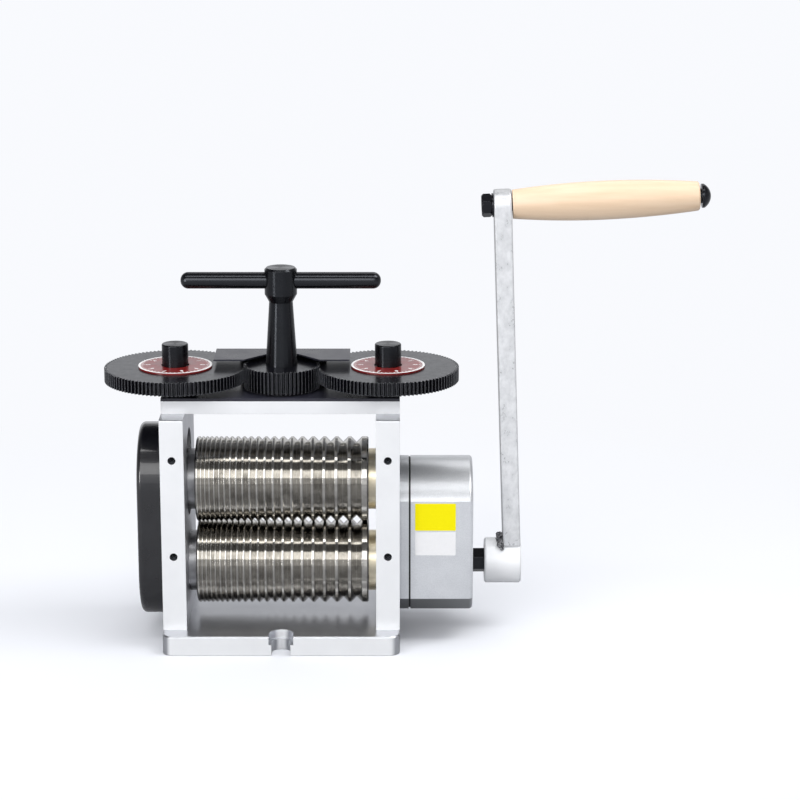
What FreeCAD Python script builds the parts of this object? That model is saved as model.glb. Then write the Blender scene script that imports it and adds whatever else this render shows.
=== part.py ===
import FreeCAD, Part, Sketcher
import math
import os
import re

# Hand-cranked rolling mill for wire: two grooved rolls in an aluminium frame. A tee handle turns two screws
# together to raise and lower the upper roll. A crank drives the lower one through a back gear.
# Frame: millimetres, X along the rolls towards the crank, Y from the operator to the back, Z up,
# origin at the centre of the base's underside.

Vector = FreeCAD.Vector
doc = FreeCAD.newDocument("rolling_mill")

SIZES = {
    # base and its two open bolt notches
    "base_depth": "112",
    "base_thick": "12.5",
    "base_corner": "7",
    "base_edge": "0.8",
    "notch_width": "12",
    "notch_sink_width": "15.6",
    "notch_sink_depth": "5.5",
    "notch_reach": "6.5",
    # side plates and their slots
    "plate_thick": "15",
    "plate_depth": "86",
    "plate_height": "138",
    "plate_corner": "1",
    "slot_width": "40",
    "slot_below": "23.5",
    "slot_above": "33.5",
    # top plate, its skin and the guard over the gears
    "top_depth": "54",
    "top_thick": "8.2",
    "skin_thick": "1.8",
    "guard_half_width": "43.2",
    "guard_front": "2",
    "guard_thick": "1",
    "guard_clear": "3.8",
    "guard_web": "28",
    "guard_notch_half": "24",
    "guard_notch_deep": "14",
    "guard_notch_back": "11",
    "guard_notch_round": "14",
    "guard_web_foot": "1.5",
    "guard_screw_x": "18",
    "guard_screw_length": "9",
    # rolls
    "roll_length": "110",
    "roll_radius": "27.25",
    "roll_axis": "45.5",
    "roll_gap": "0.4",
    "roll_edge": "0.8",
    "journal_radius": "12",
    "seat_radius": "9",
    "groove_count": "21",
    "groove_first": "7.1",
    "groove_ratio": "0.9375",
    "groove_spacing": "1.25",
    "groove_margin": "7.6",
    "groove_run_out": "0.15",
    "end_screw_length": "14",
    "end_flange": "12",
    "end_head": "2.6",
    # bushes and sliding bearing blocks
    "bush_wall": "3",
    "flange_radius": "19.5",
    "flange_thick": "4.95",
    "side_play": "0.2",
    "running_fit": "0.05",
    "block_fit": "0.1",
    "block_side_gap": "0.2",
    "block_seat": "17.5",
    "pad_radius": "6.5",
    "pad_thick": "4",
    # lift springs
    "spring_radius": "4",
    "spring_wire": "1.6",
    "spring_turns": "4",
    "spring_bore_radius": "5.6",
    "spring_bore_depth": "10",
    # adjusting screws, gears and dials
    "big_teeth": "104",
    "small_teeth": "55",
    "gear_width": "8.5",
    "gear_lift": "5.8",
    "gear_backlash": "0.12",
    "gear_dedendum_share": "1.25",
    "gear_addendum_share": "1",
    "screw_head_radius": "8.4",
    "screw_radius": "6",
    "screw_height": "14.9",
    "screw_flat": "7.2",
    "flat_over": "1.8",
    "screw_round": "0.8",
    "screw_shoulder": "1.5",
    "spacer_radius": "14",
    "dial_radius": "23.5",
    "dial_thick": "1",
    # tee handle
    "pinion_gap": "1",
    "pinion_width": "14.5",
    "pivot_radius": "6",
    "pivot_height": "11",
    "pivot_collar": "11.5",
    "spigot_radius": "8",
    "spigot_depth": "4",
    "column_foot_radius": "10.1",
    "column_neck_radius": "7.5",
    "column_neck_height": "41",
    "column_cone_height": "46",
    "column_height": "63",
    "column_head_radius": "10.25",
    "column_edge": "1.2",
    "bar_radius": "5.3",
    "bar_length": "126.4",
    "bar_drop": "8.4",
    "bar_end": "4.9",
    # coupling gears under the left cover
    "coupling_module": "3.9",
    "coupling_teeth": "14",
    "coupling_addendum": "2.9",
    "coupling_dedendum": "4.4",
    "coupling_backlash": "0.7",
    "coupling_width": "8.6",
    "coupling_gap": "0.8",
    "pressure_angle": "20",
    "key_width": "5",
    "key_height": "5",
    "cover_radius": "34.85",
    "cover_depth": "16",
    "cover_wall": "1.5",
    "cover_round": "3.5",
    "cover_rise": "2.05",
    "cover_low_rise": "1.15",
    "cover_rim": "1",
    "cover_rim_width": "2.5",
    "cover_post": "29",
    "cover_post_radius": "5",
    # gearbox on the crank side
    "box_plate_thick": "5.7",
    "gasket_thick": "1.1",
    "box_depth": "39.7",
    "box_half_width": "33",
    "box_arch": "37.5",
    "box_arch_drop": "3.4",
    "box_below": "25.3",
    "box_bevel": "9.9",
    "box_wall": "3.4",
    "box_round": "2.4",
    "box_screw_post": "4.5",
    "box_screw_y": "27.5",
    "box_screw_low": "32.5",
    "box_screw_high": "60",
    "box_journal_gap": "0.6",
    "gasket_inset": "0.8",
    "boss_length": "10",
    "crank_boss_radius": "15",
    "lay_boss_radius": "9.5",
    "train_module": "1",
    "train_dedendum": "1.25",
    "train_backlash": "0.15",
    "crank_teeth": "14",
    "lay_teeth": "56",
    "lay_pinion_teeth": "34",
    "drive_teeth": "36",
    "train_width": "8",
    "train_gap": "3",
    "lay_radius": "6",
    "lay_seat": "3.5",
    "lay_end_gap": "0.4",
    # crank
    "crank_shaft_radius": "8",
    "crank_bush_wall": "3",
    "crank_bush_length": "14",
    "hex_corner": "8",
    "hex_fit": "0.05",
    "hex_relief": "0.5",
    "hex_short": "2.5",
    "crank_stand_off": "8.1",
    "hub_radius": "14.6",
    "hub_length": "23.5",
    "hub_edge": "1",
    "hub_screw_sunk": "1.2",
    "arm_length": "233.6",
    "arm_width": "20",
    "arm_thick": "11.2",
    "arm_lean": "2",
    "arm_edge": "1.3",
    "weld_size": "4.5",
    "weld_gap": "0.2",
    "weld_sweep": "80",
    # handle
    "grip_length": "117",
    "grip_arm_radius": "9.1",
    "grip_mid_radius": "12.2",
    "grip_end_radius": "9.2",
    "grip_round": "1.5",
    "grip_belly": "0.48",
    "grip_clear": "0.6",
    "grip_tilt": "2.6",
    "tilt_clear": "0.1",
    "bolt_radius": "4",
    "bolt_head_radius": "7.6",
    "bolt_head_height": "5.8",
    "bolt_head_side": "1.5",
    "bolt_neck_radius": "4.6",
    "bolt_neck": "1.4",
    "nut_flats": "13",
    "nut_height": "6.5",
    "bolt_short_of_nut": "0.5",
    "washer_radius": "7.5",
    "washer_thick": "1",
    # how far a cutting outline runs past the metal
    "overshoot": "1",
    # small fasteners
    "frame_screw_radius": "3",
    "frame_screw_head": "5",
    "frame_screw_head_height": "6",
    "frame_screw_length": "18",
    "frame_screw_sunk": "0.5",
    "base_screw_y": "28",
    "top_screw_y": "19",
    "hole_clear": "0.5",
    "socket_share": "0.6",
    "set_screw_radius": "2.5",
    "set_screw_length": "8",
    "set_screw_sunk": "4.5",
    "set_screw_high": "124.3",
    "set_screw_low": "61.2",
    "small_screw_radius": "2",
    "small_screw_head": "3.4",
    "small_screw_head_height": "2.4",
    "sink_clear": "0.1",
    "sink_depth": "0.2",
}

# Places that follow from the sizes, each a formula in the same sheet.
PLACES = {
    "plate_in": "roll_length / 2 + side_play + flange_thick",
    "plate_out": "plate_in + plate_thick",
    "screw_x": "plate_in + plate_thick / 2",
    "gear_module": "2 * screw_x / (big_teeth + small_teeth)",
    "frame_top": "base_thick + plate_height",
    "deck": "frame_top + top_thick + skin_thick",
    "upper_axis": "roll_axis + 2 * roll_radius + roll_gap",
    "gear_low": "deck + gear_lift",
    "gear_top": "gear_low + gear_width",
    "pinion_low": "deck + pinion_gap",
    "pinion_top": "pinion_low + pinion_width",
    "guard_low": "gear_top + guard_clear",
    "bar_axis": "pinion_top + column_height - bar_drop",
    "screw_top": "gear_top + screw_height",
    "bush_radius": "journal_radius + bush_wall",
    "block_radius": "slot_width / 2 - block_fit",
    "pad_top": "upper_axis + block_seat + pad_thick",
    "box_face": "plate_out + box_plate_thick",
    "box_start": "box_face + gasket_thick",
    "box_end": "box_start + box_depth",
    "lay_axis": "roll_axis + train_module * (crank_teeth + lay_teeth) / 2",
    "drive_start": "box_start + train_gap",
    "lay_start": "drive_start + train_width + train_gap",
    "hub_start": "box_end + crank_stand_off",
    "hub_screw_x": "hub_length / 3",
    "arm_x": "hub_start + hub_length - arm_thick / 2",
    "slot_bottom": "upper_axis - slot_below",
    "slot_top": "upper_axis + slot_above",
    "coupling_x": "plate_out + coupling_gap",
    "roll_left_end": "coupling_x + coupling_width",
    "box_bottom": "roll_axis - box_below",
    "grip_low": "arm_thick / 2 + grip_clear",
    "grip_swell": "grip_mid_radius - grip_arm_radius",
    "grip_fall": "grip_mid_radius - grip_end_radius",
    "grip_x": "arm_x - arm_length * sin(arm_lean)",
    "grip_z": "roll_axis + arm_length * cos(arm_lean)",
}


def fill_sheet():
    """One sheet holds every size as a plain number and, below them, the places worked out from them."""
    sheet = doc.addObject("Spreadsheet::Sheet", "Sizes")
    row = 1
    for name, number in SIZES.items():
        sheet.set("A%d" % row, name)
        sheet.set("B%d" % row, number)
        sheet.setAlias("B%d" % row, name)
        row += 1
    for name, formula in PLACES.items():
        sheet.set("A%d" % row, name)
        sheet.set("B%d" % row, "=" + formula)
        sheet.setAlias("B%d" % row, name)
        row += 1
    doc.recompute()
    return sheet


sheet = fill_sheet()
NAMES = re.compile(r"\b(" + "|".join(list(SIZES) + list(PLACES)) + r")\b")


def sized(formula):
    """The formula with each name looked up in the sheet."""
    return NAMES.sub(r"Sizes.\1", formula)


def number(formula):
    """What the formula comes to now."""
    result = scratch.evalExpression(sized(formula))
    return float(getattr(result, "Value", result))


scratch = doc.addObject("App::FeaturePython", "scratch")


# ---------------------------------------------------------------- drawing

def origin_plane(body, role):
    return next(item for item in body.Origin.OriginFeatures if item.Role == role)


def new_body(label):
    body = doc.addObject("PartDesign::Body", label)
    body.Label = label
    body.AllowCompound = True
    return body


def place(item, x="0", y="0", z="0", about_y="0"):
    """Put a finished piece in the mill, turned about the Y direction first."""
    turn = FreeCAD.Rotation(Vector(0, 1, 0), number(about_y))
    item.Placement = FreeCAD.Placement(Vector(number(x), number(y), number(z)), turn)
    for axis, formula in (("x", x), ("y", y), ("z", z)):
        if formula != "0":
            item.setExpression("Placement.Base." + axis, sized(formula))
    if NAMES.search(about_y):
        item.setExpression("Placement.Rotation.Angle", sized(about_y))
    return item


def new_sketch(body, name, role="XY_Plane", height="0"):
    sketch = body.newObject("Sketcher::SketchObject", name)
    sketch.AttachmentSupport = (origin_plane(body, role), [""])
    sketch.MapMode = "FlatFace"
    if height != "0":
        sketch.AttachmentOffset = FreeCAD.Placement(Vector(0, 0, number(height)), FreeCAD.Rotation())
        sketch.setExpression("AttachmentOffset.Base.z", sized(height))
    return sketch


def hold(sketch, direction, geometry, end, formula):
    """Tie one coordinate of a point to a formula, or to the axis when it is zero."""
    if formula == "0":
        axis = -2 if direction == "DistanceX" else -1
        sketch.addConstraint(Sketcher.Constraint("PointOnObject", geometry, end, axis))
        return
    rule = Sketcher.Constraint(direction, -1, 1, geometry, end, number(formula))
    index = sketch.addConstraint(rule)
    sketch.setExpression("Constraints[%d]" % index, sized(formula))


def arc_between(start, end, radius):
    """Arc from start to end; a positive radius keeps its centre on the left of the way there."""
    chord = end - start
    half = chord.Length / 2
    left = Vector(-chord.y, chord.x, 0).normalize()
    reach = math.sqrt(max(radius * radius - half * half, 0))
    centre = (start + end) * 0.5 + left * (reach if radius > 0 else -reach)
    circle = Part.Circle(centre, Vector(0, 0, 1), abs(radius))
    first, last = (start, end) if radius > 0 else (end, start)
    angle_first = math.atan2(first.y - centre.y, first.x - centre.x)
    angle_last = math.atan2(last.y - centre.y, last.x - centre.x)
    if angle_last <= angle_first:
        angle_last += 2 * math.pi
    return Part.ArcOfCircle(circle, angle_first, angle_last)


def outline(sketch, corners, arcs=None):
    """A closed loop through the corners. arcs gives the radius of each side that is an arc, by its number."""
    arcs = arcs or {}
    points = [Vector(number(x), number(y), 0) for x, y in corners]
    count = len(corners)
    starts = []
    for side in range(count):
        start, end = points[side], points[(side + 1) % count]
        if side in arcs:
            geometry = sketch.addGeometry(arc_between(start, end, number(arcs[side])), False)
            starts.append((geometry, 1) if number(arcs[side]) > 0 else (geometry, 2))
        else:
            starts.append((sketch.addGeometry(Part.LineSegment(start, end), False), 1))
    for side, (geometry, begin) in enumerate(starts):
        following, following_begin = starts[(side + 1) % count]
        joined = Sketcher.Constraint("Coincident", geometry, 3 - begin, following, following_begin)
        sketch.addConstraint(joined)
        hold(sketch, "DistanceX", geometry, begin, corners[side][0])
        hold(sketch, "DistanceY", geometry, begin, corners[side][1])
        if side in arcs and not is_semicircle(points[side], points[(side + 1) % count], number(arcs[side])):
            radius = sketch.addConstraint(Sketcher.Constraint("Radius", geometry, abs(number(arcs[side]))))
            sketch.setExpression("Constraints[%d]" % radius, sized(arcs[side].lstrip("-")))
        elif side in arcs:
            sketch.addConstraint(Sketcher.Constraint("Symmetric", geometry, 1, geometry, 2, geometry, 3))


def is_semicircle(start, end, radius):
    return abs((end - start).Length - 2 * abs(radius)) < 1e-6


def circle(sketch, x, y, radius):
    spot = Vector(number(x), number(y), 0)
    geometry = sketch.addGeometry(Part.Circle(spot, Vector(0, 0, 1), number(radius)), False)
    hold(sketch, "DistanceX", geometry, 3, x)
    hold(sketch, "DistanceY", geometry, 3, y)
    index = sketch.addConstraint(Sketcher.Constraint("Radius", geometry, number(radius)))
    sketch.setExpression("Constraints[%d]" % index, sized(radius))


def rounded_box(half_x, half_y, corner):
    """Corners and arcs of a rectangle about the origin with rounded corners."""
    x_in, y_in = "%s - %s" % (half_x, corner), "%s - %s" % (half_y, corner)
    corners = [("-(%s)" % x_in, "-(%s)" % half_y), (x_in, "-(%s)" % half_y),
               (half_x, "-(%s)" % y_in), (half_x, y_in),
               (x_in, half_y), ("-(%s)" % x_in, half_y),
               ("-(%s)" % half_x, y_in), ("-(%s)" % half_x, "-(%s)" % y_in)]
    return corners, {1: corner, 3: corner, 5: corner, 7: corner}


def hexagon(sketch, x, y, corner_radius):
    """A hexagon with two corners on the sketch's upright line."""
    corners = []
    for step in range(6):
        angle = 90 + 60 * step
        corners.append(("%s + %s * cos(%d)" % (x, corner_radius, angle),
                        "%s + %s * sin(%d)" % (y, corner_radius, angle)))
    outline(sketch, corners)


def pad(body, sketch, length, backwards=False, both_ways=False):
    feature = body.newObject("PartDesign::Pad", "pad")
    feature.Profile = sketch
    feature.setExpression("Length", sized(length))
    feature.Reversed = backwards
    feature.Midplane = both_ways
    sketch.Visibility = False
    return feature


def pocket(body, sketch, depth=None, backwards=False):
    """Cut the sketch away. With no depth it cuts right through, both ways."""
    feature = body.newObject("PartDesign::Pocket", "pocket")
    feature.Profile = sketch
    feature.Reversed = backwards
    if depth is None:
        feature.Type = "ThroughAll"
        feature.Midplane = True
    else:
        feature.setExpression("Length", sized(depth))
    return feature


def turned(label, profile, arcs=None, **where):
    """A piece from the lathe: its half profile, as (radius, height) corners, spun about its own axis."""
    body = new_body(label)
    sketch = new_sketch(body, "half_profile", "XZ_Plane")
    outline(sketch, profile, arcs)
    spin = body.newObject("PartDesign::Revolution", "turning")
    spin.Profile = sketch
    spin.ReferenceAxis = (sketch, ["V_Axis"])
    spin.Angle = 360
    return place(body, **where)


def soften(body, kind, size, chosen):
    """Round or bevel the chosen edges of the piece as it stands."""
    doc.recompute()
    before = body.Tip
    names = ["Edge%d" % (i + 1) for i, edge in enumerate(before.Shape.Edges) if chosen(edge)]
    feature = body.newObject("PartDesign::" + kind, kind.lower())
    feature.Base = (before, names)
    feature.setExpression("Radius" if kind == "Fillet" else "Size", sized(size))
    body.Tip = feature
    return feature


def flat_at(edge, axis, level):
    """True for an edge that lies wholly at the level on the axis (0, 1 or 2)."""
    low = (edge.BoundBox.XMin, edge.BoundBox.YMin, edge.BoundBox.ZMin)[axis]
    high = (edge.BoundBox.XMax, edge.BoundBox.YMax, edge.BoundBox.ZMax)[axis]
    return abs(low - level) < 1e-4 and abs(high - level) < 1e-4


def screws(label, spots, shank, length, head, head_height, role="XY_Plane", flip=False, **where):
    """Identical cap screws as separate solids of one node. Heads stand on the plane, shanks go behind it."""
    body = new_body(label)
    top = "-(%s)" % head_height if flip else head_height
    shanks = new_sketch(body, "shanks", role)
    heads = new_sketch(body, "heads", role)
    sockets = new_sketch(body, "sockets", role, top)
    for x, y in spots:
        circle(shanks, x, y, shank)
        circle(heads, x, y, head)
        hexagon(sockets, x, y, "%s / 2" % head)
    pad(body, shanks, length, backwards=not flip)
    pad(body, heads, head_height, backwards=flip)
    pocket(body, sockets, "%s * socket_share" % head_height, backwards=flip)
    return place(body, **where)


def holes(body, spots, radius, depth=None, role="XY_Plane", height="0", backwards=False):
    """Round holes of one radius, drilled from the plane at the height, or right through."""
    sketch = new_sketch(body, "holes", role, height)
    for x, y in spots:
        circle(sketch, x, y, radius)
    return pocket(body, sketch, depth, backwards)


def rectangle(sketch, low_x, low_y, high_x, high_y):
    outline(sketch, [(low_x, low_y), (high_x, low_y), (high_x, high_y), (low_x, high_y)])


def involute(angle):
    return math.tan(angle) - angle


def gear_outline(teeth, module, addendum, dedendum, backlash):
    """Closed outline of an involute gear with a tooth on +X, its flanks drawn through four radii."""
    pressure = math.radians(number("pressure_angle"))
    pitch = module * teeth / 2
    base = pitch * math.cos(pressure)
    root, tip = pitch - dedendum, pitch + addendum
    half_tooth = (math.pi * module / 2 - backlash) / (2 * pitch)
    flank = []
    for radius in (root, max(base, root + dedendum / 3), pitch, tip):
        rolled = involute(math.acos(min(base / radius, 1)))
        flank.append((radius, half_tooth + involute(pressure) - rolled))
    points = []
    for tooth in range(teeth):
        middle = 2 * math.pi * tooth / teeth
        for radius, half in flank:
            points.append((radius, middle - half))
        for radius, half in reversed(flank):
            points.append((radius, middle + half))
    corners = [Vector(radius * math.cos(angle), radius * math.sin(angle), 0) for radius, angle in points]
    return Part.makePolygon(corners + corners[:1])


def involute_gear(label, teeth, module, addendum, dedendum, backlash, width, bore,
                  keyed=False, half_step=False, **where):
    """A spur gear with its bore, and a keyway in the bore on the -X side if it is keyed."""
    wire = gear_outline(round(number(teeth)), number(module), number(addendum), number(dedendum),
                        number(backlash))
    wide, hole = number(width), number(bore)
    solid = Part.Face(wire).extrude(Vector(0, 0, wide))
    if half_step:
        solid.rotate(Vector(0, 0, 0), Vector(0, 0, 1), 180 / number(teeth))
    solid = solid.cut(Part.makeCylinder(hole, wide))
    if keyed:
        high, across = number("key_height"), number("key_width")
        corner = Vector(-hole - high / 2, -across / 2, 0)
        solid = solid.cut(Part.makeBox(high, across, wide, corner))
    gear = doc.addObject("Part::Feature", label)
    gear.Label = label
    gear.Shape = solid
    return place(gear, **where)


def toothed(body, teeth, half_step=False):
    """Cut fine teeth round a disc: one straight-sided tooth space, repeated round the axis.

    The first space is on +X, or half a tooth further round."""
    doc.recompute()
    module = "gear_module"
    pitch = "%s * %s / 2" % (module, teeth)
    root = "%s - gear_dedendum_share * %s" % (pitch, module)
    beyond = "%s + gear_addendum_share * %s + overshoot" % (pitch, module)
    half_pitch_space = "(pi * %s / 4 + gear_backlash / 2)" % module
    half_root = "%s - gear_dedendum_share * %s * tan(pressure_angle)" % (half_pitch_space, module)
    reach = "(gear_addendum_share * %s + overshoot)" % module
    half_beyond = "%s + %s * tan(pressure_angle)" % (half_pitch_space, reach)
    sketch = new_sketch(body, "tooth_space")
    if half_step:
        sketch.AttachmentOffset = FreeCAD.Placement(Vector(), Vector(0, 0, 1), 180 / number(teeth))
        sketch.setExpression("AttachmentOffset.Rotation.Angle", sized("180 / %s" % teeth))
    outline(sketch, [(root, "-(%s)" % half_root), (beyond, "-(%s)" % half_beyond), (beyond, half_beyond),
                     (root, half_root)])
    space = pocket(body, sketch)
    teeth_round = body.newObject("PartDesign::PolarPattern", "teeth")
    teeth_round.Originals = [space]
    teeth_round.Axis = (sketch, ["N_Axis"])
    teeth_round.Angle = 360
    teeth_round.setExpression("Occurrences", sized(teeth))
    body.Tip = teeth_round
    return teeth_round


# ---------------------------------------------------------------- frame

SIDES = (("left", "-"), ("right", ""))


def make_base():
    """Base plate with an open bolt notch at the middle of its front and back edges."""
    body = new_body("base_plate")
    slab = new_sketch(body, "slab")
    outline(slab, *rounded_box("plate_out", "base_depth / 2", "base_corner"))
    pad(body, slab, "base_thick")
    soften(body, "Chamfer", "base_edge", lambda edge: flat_at(edge, 2, number("base_thick")))
    for side in ("-", ""):
        notch(body, "notch_width / 2", side, None)
        notch(body, "notch_sink_width / 2", side, "notch_sink_depth")
    spots = [("%sscrew_x" % x, "%sbase_screw_y" % y) for x in ("-", "") for y in ("-", "")]
    holes(body, spots, "frame_screw_radius")
    holes(body, spots, "frame_screw_head", "frame_screw_head_height + frame_screw_sunk", backwards=True)
    screws("base_screws", spots, "frame_screw_radius", "frame_screw_length", "frame_screw_head",
           "frame_screw_head_height", flip=True, z="frame_screw_head_height + frame_screw_sunk")


def notch(body, half, side, depth):
    """A notch open at the front (-) or back edge, with a round inner end."""
    turned_round = "-" if side == "" else ""
    edge, centre = "%s(base_depth / 2 + overshoot)" % side, "%s(base_depth / 2 - notch_reach)" % side
    near, far = "%s%s" % ("-" if side == "-" else "", half), "%s%s" % (turned_round, half)
    sketch = new_sketch(body, "notch", height="0" if depth is None else "base_thick")
    outline(sketch, [(near, edge), (far, edge), (far, centre), (near, centre)], {2: half})
    return pocket(body, sketch, depth)


def make_side_plates():
    """Two side plates, each with a bush bore for the lower roll and a slot for the upper one's block."""
    for side, sign in SIDES:
        body = new_body("%s_side_plate" % side)
        face = new_sketch(body, "face", "YZ_Plane")
        half, corner = "plate_depth / 2", "plate_corner"
        outline(face, [("-(%s)" % half, "base_thick"), (half, "base_thick"),
                       (half, "frame_top - plate_corner"), ("%s - plate_corner" % half, "frame_top"),
                       ("-(%s - plate_corner)" % half, "frame_top"),
                       ("-(%s)" % half, "frame_top - plate_corner")],
                {2: corner, 4: corner})
        pad(body, face, "plate_thick", both_ways=True)
        slot = new_sketch(body, "slot", "YZ_Plane")
        reach = "slot_width / 2"
        low, high = "slot_bottom + slot_width / 2", "slot_top - slot_width / 2"
        outline(slot, [(reach, low), (reach, high), ("-%s" % reach, high), ("-%s" % reach, low)],
                {1: reach, 3: reach})
        pocket(body, slot)
        holes(body, [("0", "roll_axis")], "bush_radius", role="YZ_Plane")
        middle = [("0", "0")]
        holes(body, middle, "screw_radius + running_fit", "frame_top - slot_top + screw_radius",
              height="frame_top")
        holes(body, middle, "spring_bore_radius", "spring_bore_depth + spring_bore_radius",
              height="slot_bottom + spring_bore_radius")
        rows = [("0", "-base_screw_y"), ("0", "base_screw_y")]
        base_bite = "frame_screw_length + frame_screw_head_height + frame_screw_sunk - base_thick"
        holes(body, rows, "frame_screw_radius", base_bite, height="base_thick", backwards=True)
        rows = [("0", "-top_screw_y"), ("0", "top_screw_y")]
        top_bite = "frame_screw_length + frame_screw_head_height - top_thick"
        holes(body, rows, "frame_screw_radius", top_bite, height="frame_top")
        holes(body, [("0", "set_screw_high"), ("0", "set_screw_low")], "set_screw_radius",
              "set_screw_sunk + set_screw_length", role="XZ_Plane", height="plate_depth / 2")
        if side == "left":
            holes(body, COVER_SPOTS, "small_screw_radius", "plate_thick / 2", "YZ_Plane",
                  "-plate_thick / 2", True)
        else:
            holes(body, BOX_SPOTS, "small_screw_radius", "plate_thick / 2", "YZ_Plane", "plate_thick / 2")
        place(body, x="%sscrew_x" % sign)


COVER_SPOTS = [("-cover_post", "(roll_axis + upper_axis) / 2"),
               ("cover_post", "(roll_axis + upper_axis) / 2")]
BOX_SPOTS = [("-box_screw_y", "box_screw_low"), ("box_screw_y", "box_screw_low"),
             ("-box_screw_y", "box_screw_high"), ("box_screw_y", "box_screw_high")]


def make_set_screws():
    """Four socket set screws sunk in the front edges of the side plates."""
    body = new_body("set_screws")
    spots = [("%sscrew_x" % x, z) for x in ("-", "") for z in ("set_screw_high", "set_screw_low")]
    barrels = new_sketch(body, "barrels", "XZ_Plane")
    sockets = new_sketch(body, "sockets", "XZ_Plane")
    for x, z in spots:
        circle(barrels, x, z, "set_screw_radius")
        hexagon(sockets, x, z, "set_screw_radius / 2")
    pad(body, barrels, "set_screw_length", backwards=True)
    pocket(body, sockets, "set_screw_radius")
    place(body, y="-(plate_depth / 2 - set_screw_sunk)")


def make_top():
    """Top plate across the side plates, screwed down, under a thin black skin."""
    body = new_body("top_plate")
    slab = new_sketch(body, "slab")
    rectangle(slab, "-plate_out", "-top_depth / 2", "plate_out", "top_depth / 2")
    pad(body, slab, "top_thick")
    screw_spots = [("-screw_x", "0"), ("screw_x", "0")]
    spots = [("%sscrew_x" % x, "%stop_screw_y" % y) for x in ("-", "") for y in ("-", "")]
    holes(body, screw_spots, "screw_radius + hole_clear")
    holes(body, [("0", "0")], "pivot_radius")
    holes(body, spots, "frame_screw_radius")
    holes(body, spots, "frame_screw_head", "frame_screw_head_height", height="top_thick")
    holes(body, GUARD_SPOTS, "small_screw_radius", "guard_screw_length - guard_thick", "XZ_Plane",
          "-top_depth / 2", True)
    place(body, z="frame_top")
    screws("top_screws", spots, "frame_screw_radius", "frame_screw_length", "frame_screw_head",
           "frame_screw_head_height", z="frame_top + top_thick - frame_screw_head_height")
    skin = new_body("top_skin")
    sheet_face = new_sketch(skin, "sheet_face")
    rectangle(sheet_face, "-plate_out", "-top_depth / 2", "plate_out", "top_depth / 2")
    pad(skin, sheet_face, "skin_thick")
    holes(skin, screw_spots, "screw_radius + hole_clear")
    holes(skin, [("0", "0")], "pivot_radius")
    place(skin, z="frame_top + top_thick")


GUARD_SPOTS = [("-guard_screw_x", "top_thick / 2"), ("guard_screw_x", "top_thick / 2")]


def make_guard():
    """Folded sheet over the meshing gears, cut back round the tee handle and screwed to the top plate."""
    body = new_body("gear_guard")
    back = "top_depth / 2 + guard_thick"
    deep = "guard_notch_deep - guard_front"
    sheet_face = new_sketch(body, "sheet_face", height="guard_low")
    outline(sheet_face, [("-guard_half_width", back), ("-guard_half_width", "-guard_front"),
                         ("-guard_notch_half", "-guard_front"), ("-guard_notch_back", deep),
                         ("guard_notch_back", deep), ("guard_notch_half", "-guard_front"),
                         ("guard_half_width", "-guard_front"), ("guard_half_width", back)],
            {3: "-guard_notch_round"})
    pad(body, sheet_face, "guard_thick")
    web = new_sketch(body, "web", height="frame_top + guard_web_foot")
    rectangle(web, "-guard_web", "top_depth / 2", "guard_web", back)
    pad(body, web, "guard_low - frame_top - guard_web_foot")
    holes(body, [(x, "frame_top + %s" % z) for x, z in GUARD_SPOTS], "small_screw_radius",
          "guard_thick", "XZ_Plane", "-top_depth / 2")
    place(body)
    screws("guard_screws", GUARD_SPOTS, "small_screw_radius", "guard_screw_length", "small_screw_head",
           "small_screw_head_height", "XZ_Plane", flip=True, y=back, z="frame_top")


# ---------------------------------------------------------------- rolls and their bearings

def groove_centre(number_from_end):
    """Middle of a groove on the roll's own axis: the spacing shrinks in step with the grooves."""
    run = ("groove_spacing * groove_first * (1 + groove_ratio) / 2"
           " * (1 - groove_ratio ^ %d) / (1 - groove_ratio)")
    return "roll_length / 2 - groove_margin - " + run % number_from_end


def make_roll(label, right_end, height):
    """A hardened roll: journals, a keyed seat at the left end and square-wire grooves, large to small."""
    half = "roll_length / 2"
    profile = [("0", "-roll_left_end"), ("seat_radius", "-roll_left_end"), ("seat_radius", "-coupling_x"),
               ("journal_radius", "-coupling_x"), ("journal_radius", "-%s" % half),
               ("roll_radius - roll_edge", "-%s" % half), ("roll_radius", "-(%s - roll_edge)" % half),
               ("roll_radius", "%s - roll_edge" % half), ("roll_radius - roll_edge", half),
               ("journal_radius", half)] + right_end
    body = turned(label, profile)
    cutter = new_sketch(body, "grooves", "XZ_Plane")
    for index in range(round(number("groove_count"))):
        width = "groove_first * groove_ratio ^ %d" % index
        centre = groove_centre(index)
        beyond = "(%s / 2 + groove_run_out)" % width
        outline(cutter, [("roll_radius - %s / 2" % width, centre),
                         ("roll_radius + groove_run_out", "%s - %s" % (centre, beyond)),
                         ("roll_radius + groove_run_out", "%s + %s" % (centre, beyond))])
    turning = body.newObject("PartDesign::Groove", "groove_cut")
    turning.Profile = cutter
    turning.ReferenceAxis = (cutter, ["V_Axis"])
    turning.Angle = 360
    keyway(body, "-roll_left_end", "coupling_width")
    holes(body, [("0", "0")], "frame_screw_radius", "end_screw_length", height="-roll_left_end",
          backwards=True)
    place(body, z=height, about_y="90")
    return body


def keyway(body, end, length, backwards=True):
    """Half a key's height cut in the seat from its end, on the local -X side."""
    sketch = new_sketch(body, "keyway", height=end)
    rectangle(sketch, "-(seat_radius + overshoot)", "-key_width / 2", "-(seat_radius - key_height / 2)",
              "key_width / 2")
    pocket(body, sketch, length, backwards)


def make_key(label, length, x, z):
    body = new_body(label)
    sketch = new_sketch(body, "section")
    rectangle(sketch, "-(seat_radius + key_height / 2)", "-key_width / 2", "-(seat_radius - key_height / 2)",
              "key_width / 2")
    pad(body, sketch, length)
    place(body, x=x, z=z, about_y="90")


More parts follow.
